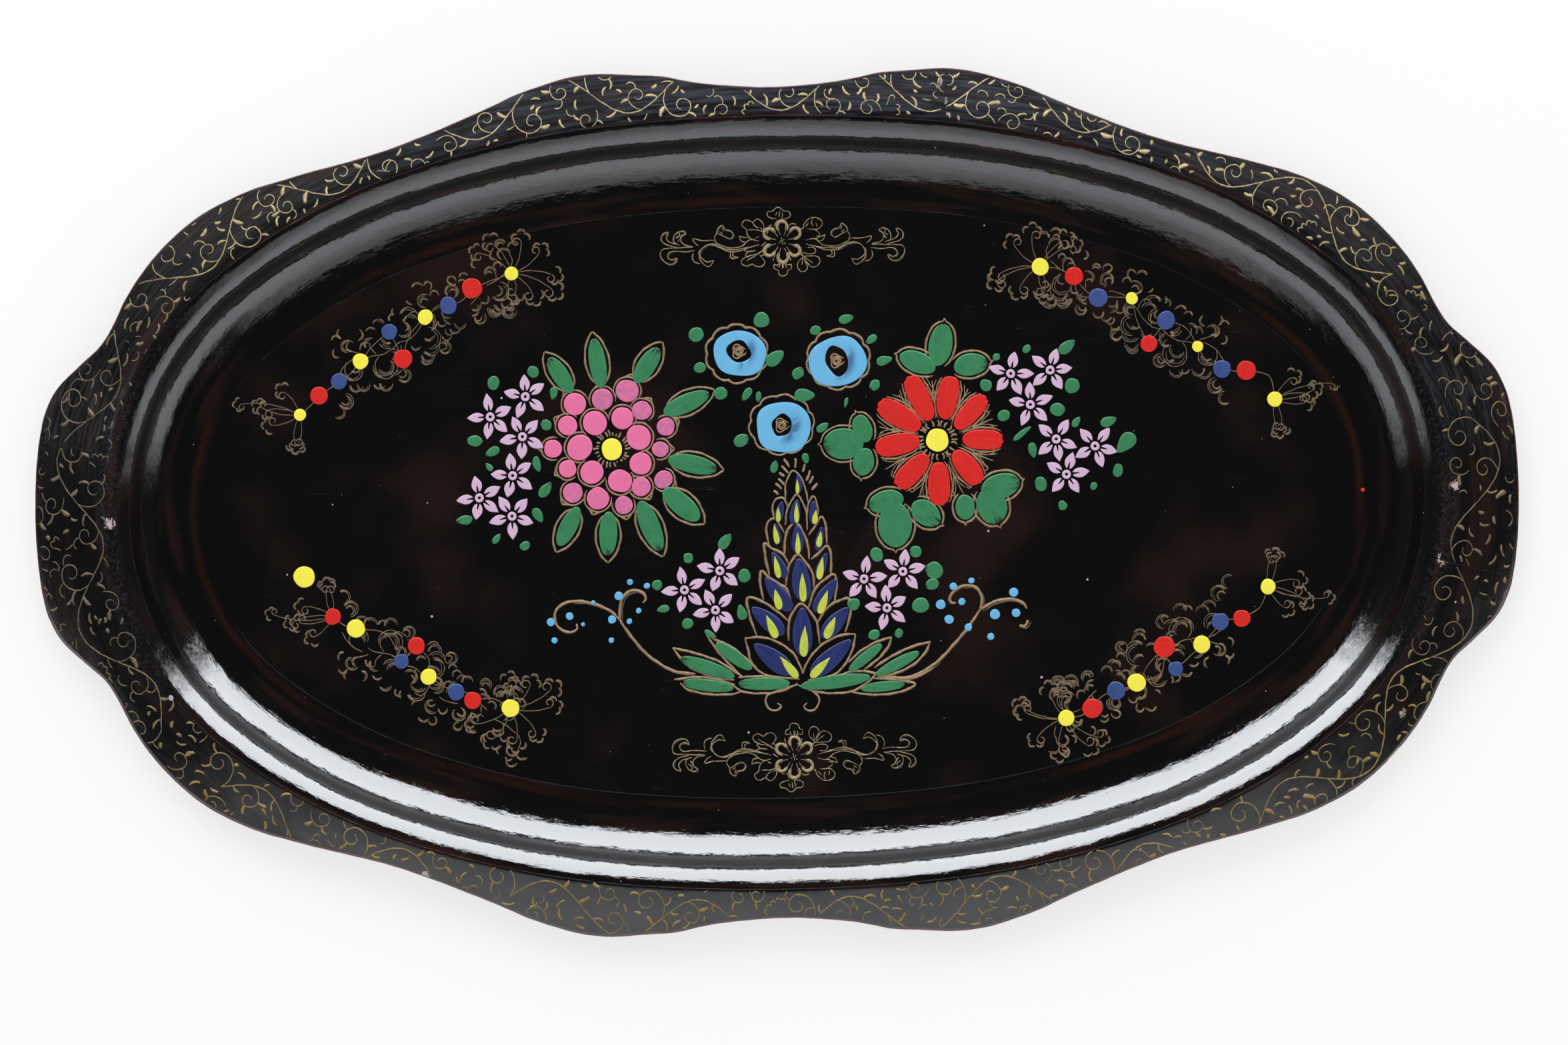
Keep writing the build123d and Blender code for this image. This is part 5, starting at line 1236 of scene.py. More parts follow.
dabs = Dabs()
for x, y, a, b, turn, x2, y2, a2, b2, turn2 in BLUE_ROSES:
    n = 72
    out = oval_ring(x, y, a, b, turn, n, 0.05, 2.2)
    hole = oval_ring(x2, y2, a2, b2, turn2, n, 0.10, 1.8)
    rel_o = np.arctan2(out[:, 1] - y2, out[:, 0] - x2)
    rel_i = np.arctan2(hole[:, 1] - y2, hole[:, 0] - x2)
    k = np.argmin(np.abs(np.angle(np.exp(1j * (rel_i - rel_o[0])))))
    hole = np.roll(hole, -k, axis=0)
    dabs.ring(out, hole, (x2 + 1.0, y2 - 0.5), math.radians(65), (a, b))
rose = Nodes("enamel_sky")
p = rose.pos()
seed, along, across = rose.attr("seed"), rose.attr("along"), rose.attr("across")
swirl = rose.noise(rose.vec(rose.math("MULTIPLY", along, 0.9), rose.math("MULTIPLY", across, 2.2), rose.math("MULTIPLY", seed, 9.0)), 1.5, 4.0, 0.55, 0.8)
rad = rose.new("ShaderNodeVectorMath", operation="LENGTH")
rose.put(rad.inputs[0], rose.vec(along, across, 0.0))
inner_side = rose.ramp(rad.outputs["Value"], 0.80, 0.42)
right = rose.ramp(across, 0.05, -0.35)
smear = rose.math("MULTIPLY", inner_side, rose.math("MULTIPLY", right, rose.ramp(swirl, 0.30, 0.52)))
left_line = rose.math("MULTIPLY", rose.ramp(rose.noise(rose.vec(rose.math("MULTIPLY", along, 0.7), rose.math("MULTIPLY", rad.outputs["Value"], 6.0), seed), 1.4, 3.0), 0.64, 0.72), rose.ramp(across, -0.1, 0.5))
c = rose.mix(rose.math("MULTIPLY", smear, 0.85), C_SKY, scale_color(srgb(0.22, 0.38, 0.60), LIT))
c = rose.mix(rose.math("MULTIPLY", left_line, 0.45), c, scale_color(srgb(0.25, 0.50, 0.74), LIT))
rose_mat = rose.finish(c, rose.ramp(swirl, 0.3, 0.7, 0.30, 0.42), normal=rose.bump(swirl, 0.00012), ior=1.48, specular=0.45)
dabs.build("blue_rose_paint", rose_mat, "sky_blue_enamel", ["blue_roses"])

dabs = Dabs()
for x, y, r in BLUE_BEADS:
    dabs.add(oval_ring(x, y, r, r, 0, 28, amount=0.05), (x, y), rng.random() * 3, (r, r))
dabs.build("blue_bead_paint", enamel("enamel_sky_beads", C_SKY, scale_color(srgb(0.30, 0.62, 0.86), LIT), 0.5), "sky_blue_enamel", ["blue_beads"])

dabs = Dabs()
for k, (x, y, r) in enumerate(PINK_BEADS):
    # beads toward +X and +Y were laid with a bluer mix
    cool = 1.0 if (y > 36 and x > -73) or x > -48 else (0.55 if y < 8 else 0.0)
    dabs.add(oval_ring(x, y, r, r, 0, amount=0.035), (x, y), rng.random() * 3, (r, r),
             seed=0.02 + 0.45 * cool + 0.5 * rng.random() * cool)
pk = Nodes("enamel_pink")
p = pk.pos()
seed, along, across = pk.attr("seed"), pk.attr("along"), pk.attr("across")
brush = pk.noise(pk.vec(pk.math("MULTIPLY", across, 1.6), pk.math("MULTIPLY", along, 1.1), pk.math("MULTIPLY", seed, 21.0)), 1.4, 4.0, 0.55, 0.6)
cool = pk.math("MULTIPLY", pk.ramp(seed, 0.05, 0.55), pk.ramp(brush, 0.34, 0.64))
c = pk.mix(pk.math("MULTIPLY", cool, 0.80), C_PINK, scale_color(srgb(0.72, 0.47, 0.66), LIT))
c = pk.mix(pk.ramp(brush, 0.60, 0.80, 0.0, 0.35), c, scale_color(srgb(0.98, 0.60, 0.74), LIT))
dabs.build("pink_bead_paint", pk.finish(c, pk.ramp(brush, 0.3, 0.7, 0.30, 0.44), normal=pk.bump(brush, 0.00010), ior=1.48, specular=0.45), "pink_enamel", ["pink_flower_beads"])

dabs = Dabs()
for k, (x, y, a, b, turn) in enumerate(LONG_LEAVES):
    if k < 9:
        turn = turn_out(x, y, -64.4, 22.0, turn)
        ring = lens_ring(x, y, a * 1.04, b * 1.06, turn, 48, 0.95)
    else:
        turn = turn_out(x, y, 8.0, -64.0, turn)
        ring = lens_ring(x, y, a * 1.03, b * 1.05, turn, 48, 0.85)
    dabs.add(ring, (x, y), math.radians(turn), (a, b))
for x, y, a, b, turn in CLOVER_LOBES:
    turn = turn_out(x, y, 63.3, 23.4, turn)
    dabs.add(oval_ring(x, y, a, b, turn, 44, 0.035), (x, y), math.radians(turn), (a, b))
for k, (x, y, a, b, turn) in enumerate(GREEN_DABS):
    turn = turn + (180 if k % 2 else 0)
    if a / b > 1.35:
        ring = drop_ring(x, y, a * 1.16, b * 1.18, turn, 32, 0.42, 0.05)
    else:
        ring = oval_ring(x, y, a * 1.06, b * 1.06, turn, 32, 0.07)
    dabs.add(ring, (x, y), math.radians(turn), (a, b))
dabs.build("green_leaf_paint", enamel("enamel_green", C_GREEN, scale_color(srgb(0.12, 0.33, 0.20), LIT), 0.75, thin=0.9), "green_enamel", ["green_leaves"])

dabs = Dabs()
PETAL = [(9.15, 0.0), (8.2, 0.75), (7.1, 1.45), (5.9, 1.92), (4.7, 1.95), (3.6, 1.60),
         (2.8, 1.05), (2.35, 0.55), (2.75, 0.42), (3.4, 0.52), (4.1, 0.50), (4.9, 0.12)]
for x, y, *headings in LILAC_FLOWERS:
    for h in headings:
        k = 0.95 + 0.08 * rng.random()
        pts = PETAL + [(u, -v) for u, v in PETAL[-1:0:-1]]
        u = np.array([q[0] for q in pts]) * k
        v = np.array([q[1] for q in pts]) * (0.95 + 0.12 * rng.random())
        u = u * (1 + 0.012 * rng.standard_normal(len(u)))
        ring = rotated(x, y, u, v, h)
        c = rotated(x, y, np.array([6.2]), np.array([0.0]), h)[0]
        dabs.add(ring, c, math.radians(h), (3.2, 1.95))
    n = 28
    dabs.ring(oval_ring(x, y, 1.78, 1.78, 0, n, 0.03), oval_ring(x, y, 0.6, 0.6, 0, n, 0.08), (x, y), 0.0, (1.8, 1.8))
dabs.build("lilac_paint", enamel("enamel_lilac", C_LILAC, scale_color(srgb(0.78, 0.62, 0.76), LIT), 0.55, thin=0.35,
                                 thin_color=scale_color(srgb(0.62, 0.47, 0.58), LIT)), "lilac_enamel", ["lilac_flowers"])

# --------------------------------------------------------------- gold work

T_TAN = srgb(0.60, 0.50, 0.385)
T_FINE = srgb(0.63, 0.56, 0.43)
T_SPRAY = srgb(0.50, 0.42, 0.32)
T_OLD = srgb(0.36, 0.33, 0.29)


def smooth_path(pts, step, closed=False):
    """Catmull-Rom through the points, resampled evenly."""
    P = np.asarray(pts, float)
    if closed:
        P = np.vstack([P[-1], P, P[:2]])
    else:
        P = np.vstack([2 * P[0] - P[1], P, 2 * P[-1] - P[-2]])
    out = []
    for k in range(1, len(P) - 2):
        p0, p1, p2, p3 = P[k - 1:k + 3]
        n = max(3, int(np.linalg.norm(p2 - p1) / (step * 0.5)))
        u = np.linspace(0, 1, n, endpoint=False)[:, None]
        out.append(0.5 * ((2 * p1) + (p2 - p0) * u + (2*p0 - 5*p1 + 4*p2 - p3) * u**2
                          + (3*p1 - p0 - 3*p2 + p3) * u**3))
    out.append(P[-2][None, :])
    Q = np.vstack(out)
    seg = np.linalg.norm(np.diff(Q, axis=0), axis=1)
    s = np.concatenate([[0], np.cumsum(seg)])
    n = max(3, int(s[-1] / step) + 1)
    q = np.linspace(0, s[-1], n)
    return np.stack([np.interp(q, s, Q[:, 0]), np.interp(q, s, Q[:, 1])], axis=1)


class Lines:
    """Collects brush lines as thin closed ribbons of lens section."""

    def __init__(self, place):
        self.place = place
        self.v, self.q, self.caps, self.tint = [], [], [], []
        self.n = 0

    def add(self, pts, width, tint, taper=(0.35, 0.35), step=0.8, height=0.055,
            smooth=True, hand=0.10, closed=False, swell=0.0):
        P = smooth_path(pts, step, closed) if smooth else np.asarray(pts, float)
        if len(P) < 3:
            return
        n = len(P)
        T = np.gradient(P, axis=0)
        T /= np.maximum(np.linalg.norm(T, axis=1), 1e-9)[:, None]
        N = np.stack([-T[:, 1], T[:, 0]], axis=1)
        u = np.linspace(0, 1, n)
        w = width * (1 + swell * np.sin(math.pi * u))
        w = w * np.minimum(1, taper[0] + (1 - taper[0]) * u / 0.12)
        w = w * np.minimum(1, taper[1] + (1 - taper[1]) * (1 - u) / 0.12)
        ph = rng.random(3) * 6.28
        L = np.arange(n) * step
        w = w * (1 + hand * np.sin(L * 0.9 + ph[0]) + hand * 0.8 * np.sin(L * 2.3 + ph[1]))
        P = P + N * (0.06 * np.sin(L * 1.1 + ph[2]))[:, None]
        w = np.maximum(w, 0.10)
        h = height * np.clip(w / 0.5, 0.5, 1.2)
        left = self.place(P + N * (w / 2)[:, None], -0.015)
        top = self.place(P, h)
        right = self.place(P - N * (w / 2)[:, None], -0.015)
        low = self.place(P, -0.05)
        V = np.stack([left, top, right, low], axis=1).reshape(-1, 3)
        i, j = np.meshgrid(np.arange(n - 1), np.arange(4), indexing="ij")
        j2 = (j + 1) % 4
        q = np.stack([i * 4 + j, i * 4 + j2, (i + 1) * 4 + j2, (i + 1) * 4 + j], -1)
        self.v.append(V)
        self.q.append(self.n + q.reshape(-1, 4))
        self.caps.append([self.n + 3, self.n + 2, self.n + 1, self.n])
        self.caps.append([self.n + 4 * (n - 1) + k for k in range(4)])
        tint = np.asarray(tint, float)
        if tint.ndim == 1:
            tint = np.tile(tint, (n, 1))
        elif len(tint) != n:
            tint = np.stack([np.interp(np.linspace(0, 1, n), np.linspace(0, 1, len(tint)), tint[:, k]) for k in range(3)], 1)
        self.tint.append(np.repeat(tint, 4, axis=0))
        self.n += 4 * n

    def build(self, name):
        if not self.v:
            return None
        faces = [np.concatenate(self.q)] + self.caps
        return make_object(name, np.concatenate(self.v), faces, MAT_GOLD,
                           tint=np.concatenate(self.tint))


def on_floor(P, h):
    return np.stack([P[:, 0], P[:, 1], np.full(len(P), FLOOR_TOP + 0.012 + h)], axis=1)


def arc_points(x, y, r, start, sweep, shrink=0.0):
    n = max(6, int(abs(sweep) / 18))
    a = np.radians(start + np.linspace(0, sweep, n))
    rr = r * (1 - shrink * np.linspace(0, 1, n))
    return np.stack([x + rr * np.cos(a), y + rr * np.sin(a)], axis=1)


# pink flower: leaf outlines, bead scallops, dashes round the centre
g = Lines(on_floor)
for k, (x, y, a, b, turn) in enumerate(LONG_LEAVES[:9]):
    turn = turn_out(x, y, -64.4, 22.0, turn)
    for side in (1, -1):
        u = np.linspace(-1.0, 1.0, 9)
        grow_a, grow_b = a + 1.5, b + 1.35
        xs = u * grow_a + 1.6
        ys = side * grow_b * (1 - u * u) ** 0.75 * (1 - 0.15 * u) + side * 0.15
        g.add(rotated(x, y, xs, ys, turn + 1.0), 0.95, T_TAN, (0.5, 0.8), 0.7)
for x, y, r in PINK_BEADS:
    away = math.degrees(math.atan2(y - 22.0, x + 64.4))
    far = math.hypot(x + 64.4, y - 22.0)
    rr = r + 0.95
    g.add(arc_points(x, y, rr, away - 112, 224), 0.80, T_TAN, (0.4, 0.4), 0.6)
    if far > 15:
        tip = rotated(x, y, np.array([rr + 1.4]), np.array([0.0]), away)[0]
        l1 = rotated(x, y, np.array([rr * 0.90]), np.array([rr * 0.45]), away)[0]
        l2 = rotated(x, y, np.array([rr * 0.90]), np.array([-rr * 0.45]), away)[0]
        g.add([l1, (l1 + tip) / 2 + 0.1, tip], 0.8, T_TAN, (0.8, 0.4), 0.4)
        g.add([l2, (l2 + tip) / 2 - 0.1, tip], 0.8, T_TAN, (0.8, 0.4), 0.4)
for k in range(26):
    a = math.radians(k * 360 / 26 + 3 * rng.standard_normal())
    r0, r1 = 5.1, 7.2 + 0.5 * rng.standard_normal()
    g.add([(-64.4 + r0 * math.cos(a), 22.0 + r0 * math.sin(a)),
           (-64.4 + (r0 + r1) / 2 * math.cos(a), 22.0 + (r0 + r1) / 2 * math.sin(a)),
           (-64.4 + r1 * math.cos(a + 0.05), 22.0 + r1 * math.sin(a + 0.05))], 0.75, T_TAN, (0.5, 0.3), 0.4)
g.build("gold_pink_flower")

# red flower: petal outlines, fans between petals, leaf outlines, dashes
g = Lines(on_floor)
RX, RY = 63.3, 23.4
order = sorted((math.atan2(y - RY, x - RX), x, y, a, b, turn_out(x, y, RX, RY, t))
               for x, y, a, b, t in RED_PETALS)
for _, x, y, a, b, turn in order:
    q = np.radians(np.linspace(158, 38, 12))
    for side in (1, -1):
        u = np.cos(q) * (a + 0.9)
        v = side * np.sin(q) ** 0.8 * (b + 0.85) * (0.92 + 0.10 * np.cos(q))
        g.add(rotated(x, y, u, v, turn), 0.60, T_TAN, (0.3, 0.6), 0.7)
        q2 = np.radians(np.linspace(140, 62, 9))
        u = np.cos(q2) * (a + 1.6) + 1.2
        v = side * (np.sin(q2) ** 0.8 * (b + 1.75))
        g.add(rotated(x, y, u, v, turn), 0.34, T_TAN, (0.3, 0.9), 0.7)
for k in range(len(order)):
    a0, a1 = order[k][0], order[(k + 1) % len(order)][0]
    if a1 < a0:
        a1 += 2 * math.pi
    mid, half = (a0 + a1) / 2, (a1 - a0) / 2
    for f, r1 in ((-0.62, 21.6), (0.05, 23.4), (0.66, 21.4)):
        a = mid + f * half * 0.62
        r0 = 14.5
        mid_a = mid + f * half * 0.30
        g.add([(RX + r0 * math.cos(mid), RY + r0 * math.sin(mid)),
               (RX + (r0 + r1) / 2 * math.cos(mid_a), RY + (r0 + r1) / 2 * math.sin(mid_a)),
               (RX + r1 * math.cos(a), RY + r1 * math.sin(a))], 0.42, T_TAN, (0.25, 0.9), 0.7, swell=0.2)
    for f in (-0.8, 0.8):
        a = mid + f * half * 0.55
        r0, r1 = 20.5, 22.8
        g.add(arc_points(RX + 21.6 * math.cos(a), RY + 21.6 * math.sin(a), 1.1, math.degrees(a) - 110, 220), 0.42, T_TAN, (0.4, 0.4), 0.4)
for k in range(24):
    a = math.radians(k * 15 + 2 * rng.standard_normal())
    r0, r1 = 5.4, 7.9
    bend = 0.10 * math.sin(k * 1.7)
    g.add([(RX + r0 * math.cos(a), RY + r0 * math.sin(a)),
           (RX + 6.7 * math.cos(a + bend), RY + 6.7 * math.sin(a + bend)),
           (RX + r1 * math.cos(a), RY + r1 * math.sin(a))], 0.80, T_TAN, (0.3, 0.5), 0.4)
for x, y, a, b, turn in CLOVER_LOBES:
    turn = turn_out(x, y, RX, RY, turn)
    for side in (1, -1):
        q = np.radians(np.linspace(150, 6, 12))
        u = np.cos(q) * (a + 1.1)
        v = side * np.sin(q) * (b + 1.1)
        pts = rotated(x, y, u, v, turn)
        tip = rotated(x, y, np.array([a + 2.3]), np.array([0.4]), turn)
        g.add(np.vstack([pts, tip]), 0.95, T_TAN, (0.3, 0.4), 0.7)
g.build("gold_red_flower")

# roses: scalloped outlines and a scribble in each eye
g = Lines(on_floor)
for k, (x, y, a, b) in enumerate(ROSE_FRAMES):
    lobes = (10, 10, 10)[k]
    q = np.linspace(0, 2 * math.pi, 200)
    bulge = np.abs(np.sin(q * lobes / 2 + 0.4 * k)) ** 0.7
    r = 1 - 0.075 + 0.085 * bulge
    g.add(np.stack([x + a * r * np.cos(q), y + b * r * np.sin(q)], 1), 1.05, T_TAN, (0.9, 0.9), 0.5, smooth=False, hand=0.08)
    ex, ey = BLUE_ROSES[k][5], BLUE_ROSES[k][6]
    g.add(np.array([(ex + 2.5 * math.cos(t) * (1 + 0.22 * math.cos(3 * t)), ey + 2.5 * math.sin(t) * (1 + 0.22 * math.cos(3 * t))) for t in np.linspace(0.3, 6.2, 14)]), 0.7, T_TAN, (0.5, 0.5), 0.4)
    loop = []
    for j in range(26):
        t = j * 1.15
        r2 = 0.5 + 0.055 * j
        loop.append((ex + r2 * math.cos(t) + 0.35 * math.sin(3.1 * t), ey + r2 * math.sin(t) * 0.95 + 0.35 * math.cos(2.3 * t)))
    g.add(loop, 0.55, T_TAN, (0.6, 0.6), 0.35)
g.build("gold_roses")

# lupine: petal tiers, base leaves, dashes; the two side curls
g = Lines(on_floor)
for k, path in enumerate(GOLD_LUPINE):
    g.add(path, 1.0 if k < 5 else 1.15, T_TAN, (0.5, 0.5), 0.7, hand=0.12)
for a, b in GOLD_LUPINE_DASHES:
    m_ = ((a[0] + b[0]) / 2 + 0.15, (a[1] + b[1]) / 2)
    g.add([a, m_, b], 1.35, T_TAN, (0.75, 0.5), 0.5)
g.build("gold_lupine")
g = Lines(on_floor)
for path in GOLD_CURLS:
    g.add(path, 1.3, T_TAN, (0.6, 0.6), 0.8, hand=0.10)
    g.add([(x + 0.9, y - 0.8) for x, y in path[:5]], 0.5, T_OLD, (0.3, 0.2), 0.8)
g.build("gold_side_curls")

# cartouches at the middle of each long side
for k, (cx, cy) in enumerate(GOLD_CART_PLACES):
    g = Lines(on_floor)
    flip = -1 if k == 0 else 1
    for path in GOLD_CART_HALF:
        for mirror in (1, -1):
            g.add([(cx + mirror * x, cy + flip * y) for x, y in path], 0.40, T_FINE, (0.5, 0.5), 0.45, hand=0.20)
            if len(path) > 6:
                g.add([(cx + mirror * x + 0.35, cy + flip * y - 0.38) for x, y in path[2:-2]], 0.22, T_OLD, (0.3, 0.3), 0.6)
    for path in GOLD_CART_FULL:
        g.add([(cx + x, cy + flip * y) for x, y in path], 0.40, T_FINE, (0.5, 0.5), 0.45, hand=0.20)
    for a in (88, 36, -33, -90, 213, 146):
        a = math.radians(a * flip)
        def local(u, v):
            return (cx + u * math.cos(a) - v * math.sin(a), cy + u * math.sin(a) + v * math.cos(a))
        cap = [local(4.2, 1.75), local(5.8, 2.05), local(7.4, 1.5), local(8.1, 0.0), local(7.4, -1.5), local(5.8, -2.05), local(4.2, -1.75)]
        g.add(cap, 1.25, T_FINE, (0.15, 0.15), 0.4, swell=0.35)
        g.add([local(8.0, 0.1), local(9.2, 0.0), local(10.4, -0.1)], 0.35, T_FINE, (0.8, 0.3), 0.4)
        for v in (-0.85, 0.85):
            g.add([local(2.4, v * 0.7), local(4.0, v * 1.5), local(6.0, v * 1.55)], 0.28, T_FINE, (0.4, 0.3), 0.5)
    for j in range(7):
        t = j * 2.4
        r = 0.55 * math.sqrt(j)
        x, y = cx + r * math.cos(t), cy + r * math.sin(t)
        g.add([(x - 0.15, y - 0.3), (x, y), (x + 0.1, y + 0.3)], 0.45, T_FINE, (0.8, 0.8), 0.2)
    g.build("gold_cartouche_%s" % ("upper", "lower")[k])

# corner sprays: stems linking the dots with clusters of curled strokes
# (heading, stem length, way of the curl, curl size, strength)
INNER_SPRIGS = [(172, 13.5, 1, 2.0, 1.0), (186, 14.5, 1, 2.3, 1.0), (150, 11.0, -1, 2.0, 0.95),
                (118, 10.5, -1, 2.1, 0.95), (72, 11.0, -1, 2.2, 1.0), (48, 12.5, -1, 1.9, 1.0),
                (214, 9.0, 1, 2.2, 0.85), (250, 5.0, 1, 2.0, 0.75), (285, 7.5, -1, 2.0, 0.75)]
OUTER_SPRIGS = [(62, 8.0, -1, 1.9, 0.75), (30, 10.0, -1, 2.0, 0.75), (2, 13.0, 1, 1.8, 0.6),
                (-30, 9.0, 1, 1.9, 0.5), (-64, 8.5, -1, 2.0, 0.45), (-100, 9.0, 1, 1.8, 0.4),
                (22, 21.0, -1, 1.5, 0.45)]


def sprig(g, x, y, h, length, turn, size, tint):
    """A bending stem that ends in a curl with crescents hugging it."""
    pts = [(x, y)]
    for k in range(8):
        h += turn * 0.07
        x, y = x + length / 8 * math.cos(h), y + length / 8 * math.sin(h)
        pts.append((x, y))
    g.add(pts, 0.34, tint, (0.5, 0.8), 0.5, hand=0.12)
    tip, th = (x, y), h
    pts = [tip]
    for k in range(11):
        h += turn * (0.34 + 0.03 * k)
        x, y = x + size * 0.34 * math.cos(h), y + size * 0.34 * math.sin(h)
        pts.append((x, y))
    g.add(pts, 0.46, tint, (0.5, 0.8), 0.4, hand=0.12, swell=0.2)
    for off, k, way in ((0.9, 1.35, -1), (0.0, 1.7, 1), (-0.9, 1.35, -1)):
        a = th + off
        cx, cy = tip[0] + k * size * math.cos(a), tip[1] + k * size * math.sin(a)
        p = arc_points(cx, cy, size * 0.80, math.degrees(a) - 95 * way, 175 * way, 0.2)
        g.add(p, 0.48, tint, (0.25, 0.9), 0.4, hand=0.15, swell=0.25)
        p = arc_points(cx, cy, size * 0.52, math.degrees(a) - 70 * way, 140 * way, 0.1)
        g.add(p, 0.30, tint, (0.3, 0.6), 0.4, hand=0.15)


quads = {"upper_right": (1, 1), "upper_left": (-1, 1), "lower_left": (-1, -1), "lower_right": (1, -1)}
ALL_DOTS = YELLOW_DOTS + RED_DOTS + NAVY_DOTS
for name, (sx, sy) in quads.items():
    g = Lines(on_floor)
    dx = 0.0 if sx > 0 else 5.0
    dy = 0.0 if sy > 0 else -6.0
    for x, y, r, a, s in GOLD_SPRAY:
        px, py = x * sx + dx, y * sy - dy * 0 + (4.0 if sy < 0 else 0.0)
        if sx < 0:
            a, s = 180 - a, -s
        if sy < 0:
            a, s = -a, -s
        jx, jy = 0.35 * rng.standard_normal(2)
        fade = 0.55 if y < 92 - 0.55 * (x - 110) - 2 else 1.0
        tint = np.array(T_SPRAY) * fade + np.array(T_OLD) * (1 - fade) * 0.9
        r = r * 1.28
        s = s * 1.08
        pts = arc_points(px + jx, py + jy, r, a, s, 0.18)
        g.add(pts, 0.42, tint, (0.3, 0.9), 0.4, hand=0.2)
        pts = arc_points(px + jx, py + jy, r * 0.74, a + s * 0.12, s * 0.80, 0.12)
        g.add(pts, 0.32, tint, (0.3, 0.5), 0.4, hand=0.2)
        if rng.random() < 0.6:
            e = arc_points(px + jx, py + jy, r * 0.86, a + s * 0.62, s * 0.36, 0.25)
            g.add(e, 0.75, tint, (0.2, 0.3), 0.35, hand=0.2)
    for path in GOLD_SPRAY_STEMS:
        pts = [(x * sx + dx, y * sy + (4.0 if sy < 0 else 0.0)) for x, y in path]
        g.add(pts, 0.38, T_SPRAY, (0.6, 0.6), 0.6, hand=0.15)
    chain = sorted([(x, y) for x, y, r in ALL_DOTS if x * sx > 95 and y * sy > 30 and abs(y) > 33], key=lambda q: abs(q[0]))
    for p0, p1 in zip(chain, chain[1:]):
        mx, my = (p0[0] + p1[0]) / 2, (p0[1] + p1[1]) / 2
        nx_, ny_ = -(p1[1] - p0[1]), p1[0] - p0[0]
        k = 0.12 * rng.standard_normal()
        g.add([p0, (mx + nx_ * k, my + ny_ * k), p1], 0.38, T_SPRAY, (1, 1), 0.6)
    for (x0, y0), ends in ((chain[0], INNER_SPRIGS), (chain[-1], OUTER_SPRIGS)):
        for head, length, turn, size, fade in ends:
            h = math.radians(head)
            h = math.atan2(math.sin(h) * sy, math.cos(h) * sx)
            h += 0.10 * rng.standard_normal()
            tint = np.array(T_SPRAY) * fade + np.array(T_OLD) * (1 - fade)
            sprig(g, x0 + 2.6 * math.cos(h), y0 + 2.6 * math.sin(h), h, length, turn * sx * sy, size, tint)
    g.build("gold_spray_" + name)

# the rim's gold vine: drawn on the sheet in (run, d), cut off by the crest
# and by the outline


def on_rim(P, h):
    return surface(P[:, 0], P[:, 1], 0.0, ripple(P[:, 0], P[:, 1]) + 0.012 + h)


def rim_tone(run):
    """Colour of the gold, paler on the upper side as a painted highlight, and how much of it has survived."""
    x, y, _, _ = crest(run)
    highlit_gold = np.array(srgb(0.71, 0.645, 0.485))
    olive = np.array(srgb(0.56, 0.48, 0.29))
    faded = np.array(srgb(0.40, 0.36, 0.29))
    # paler, brighter gold toward +Y is a painted highlight, where the light's reflection falls on the upper rim
    if y > 60:
        f = min(1.0, (y - 60) / 60)
        base = highlit_gold * f + (olive * 0.9 + faded * 0.1) * (1 - f)
        keep = 0.95
    else:
        base = olive
        keep = 0.92
    if x < -215:
        f = min(1.0, (-215 - x) / 35)
        base = base * (1 - f) + faded * f
        keep = keep * (1 - f) + 0.74 * f
    if x > 240 and y > -75:
        base = base * 0.35 + faded * 0.65
        keep = 0.52
    return base, keep


SEAM_RUNS = np.array(RIM_SEAMS)


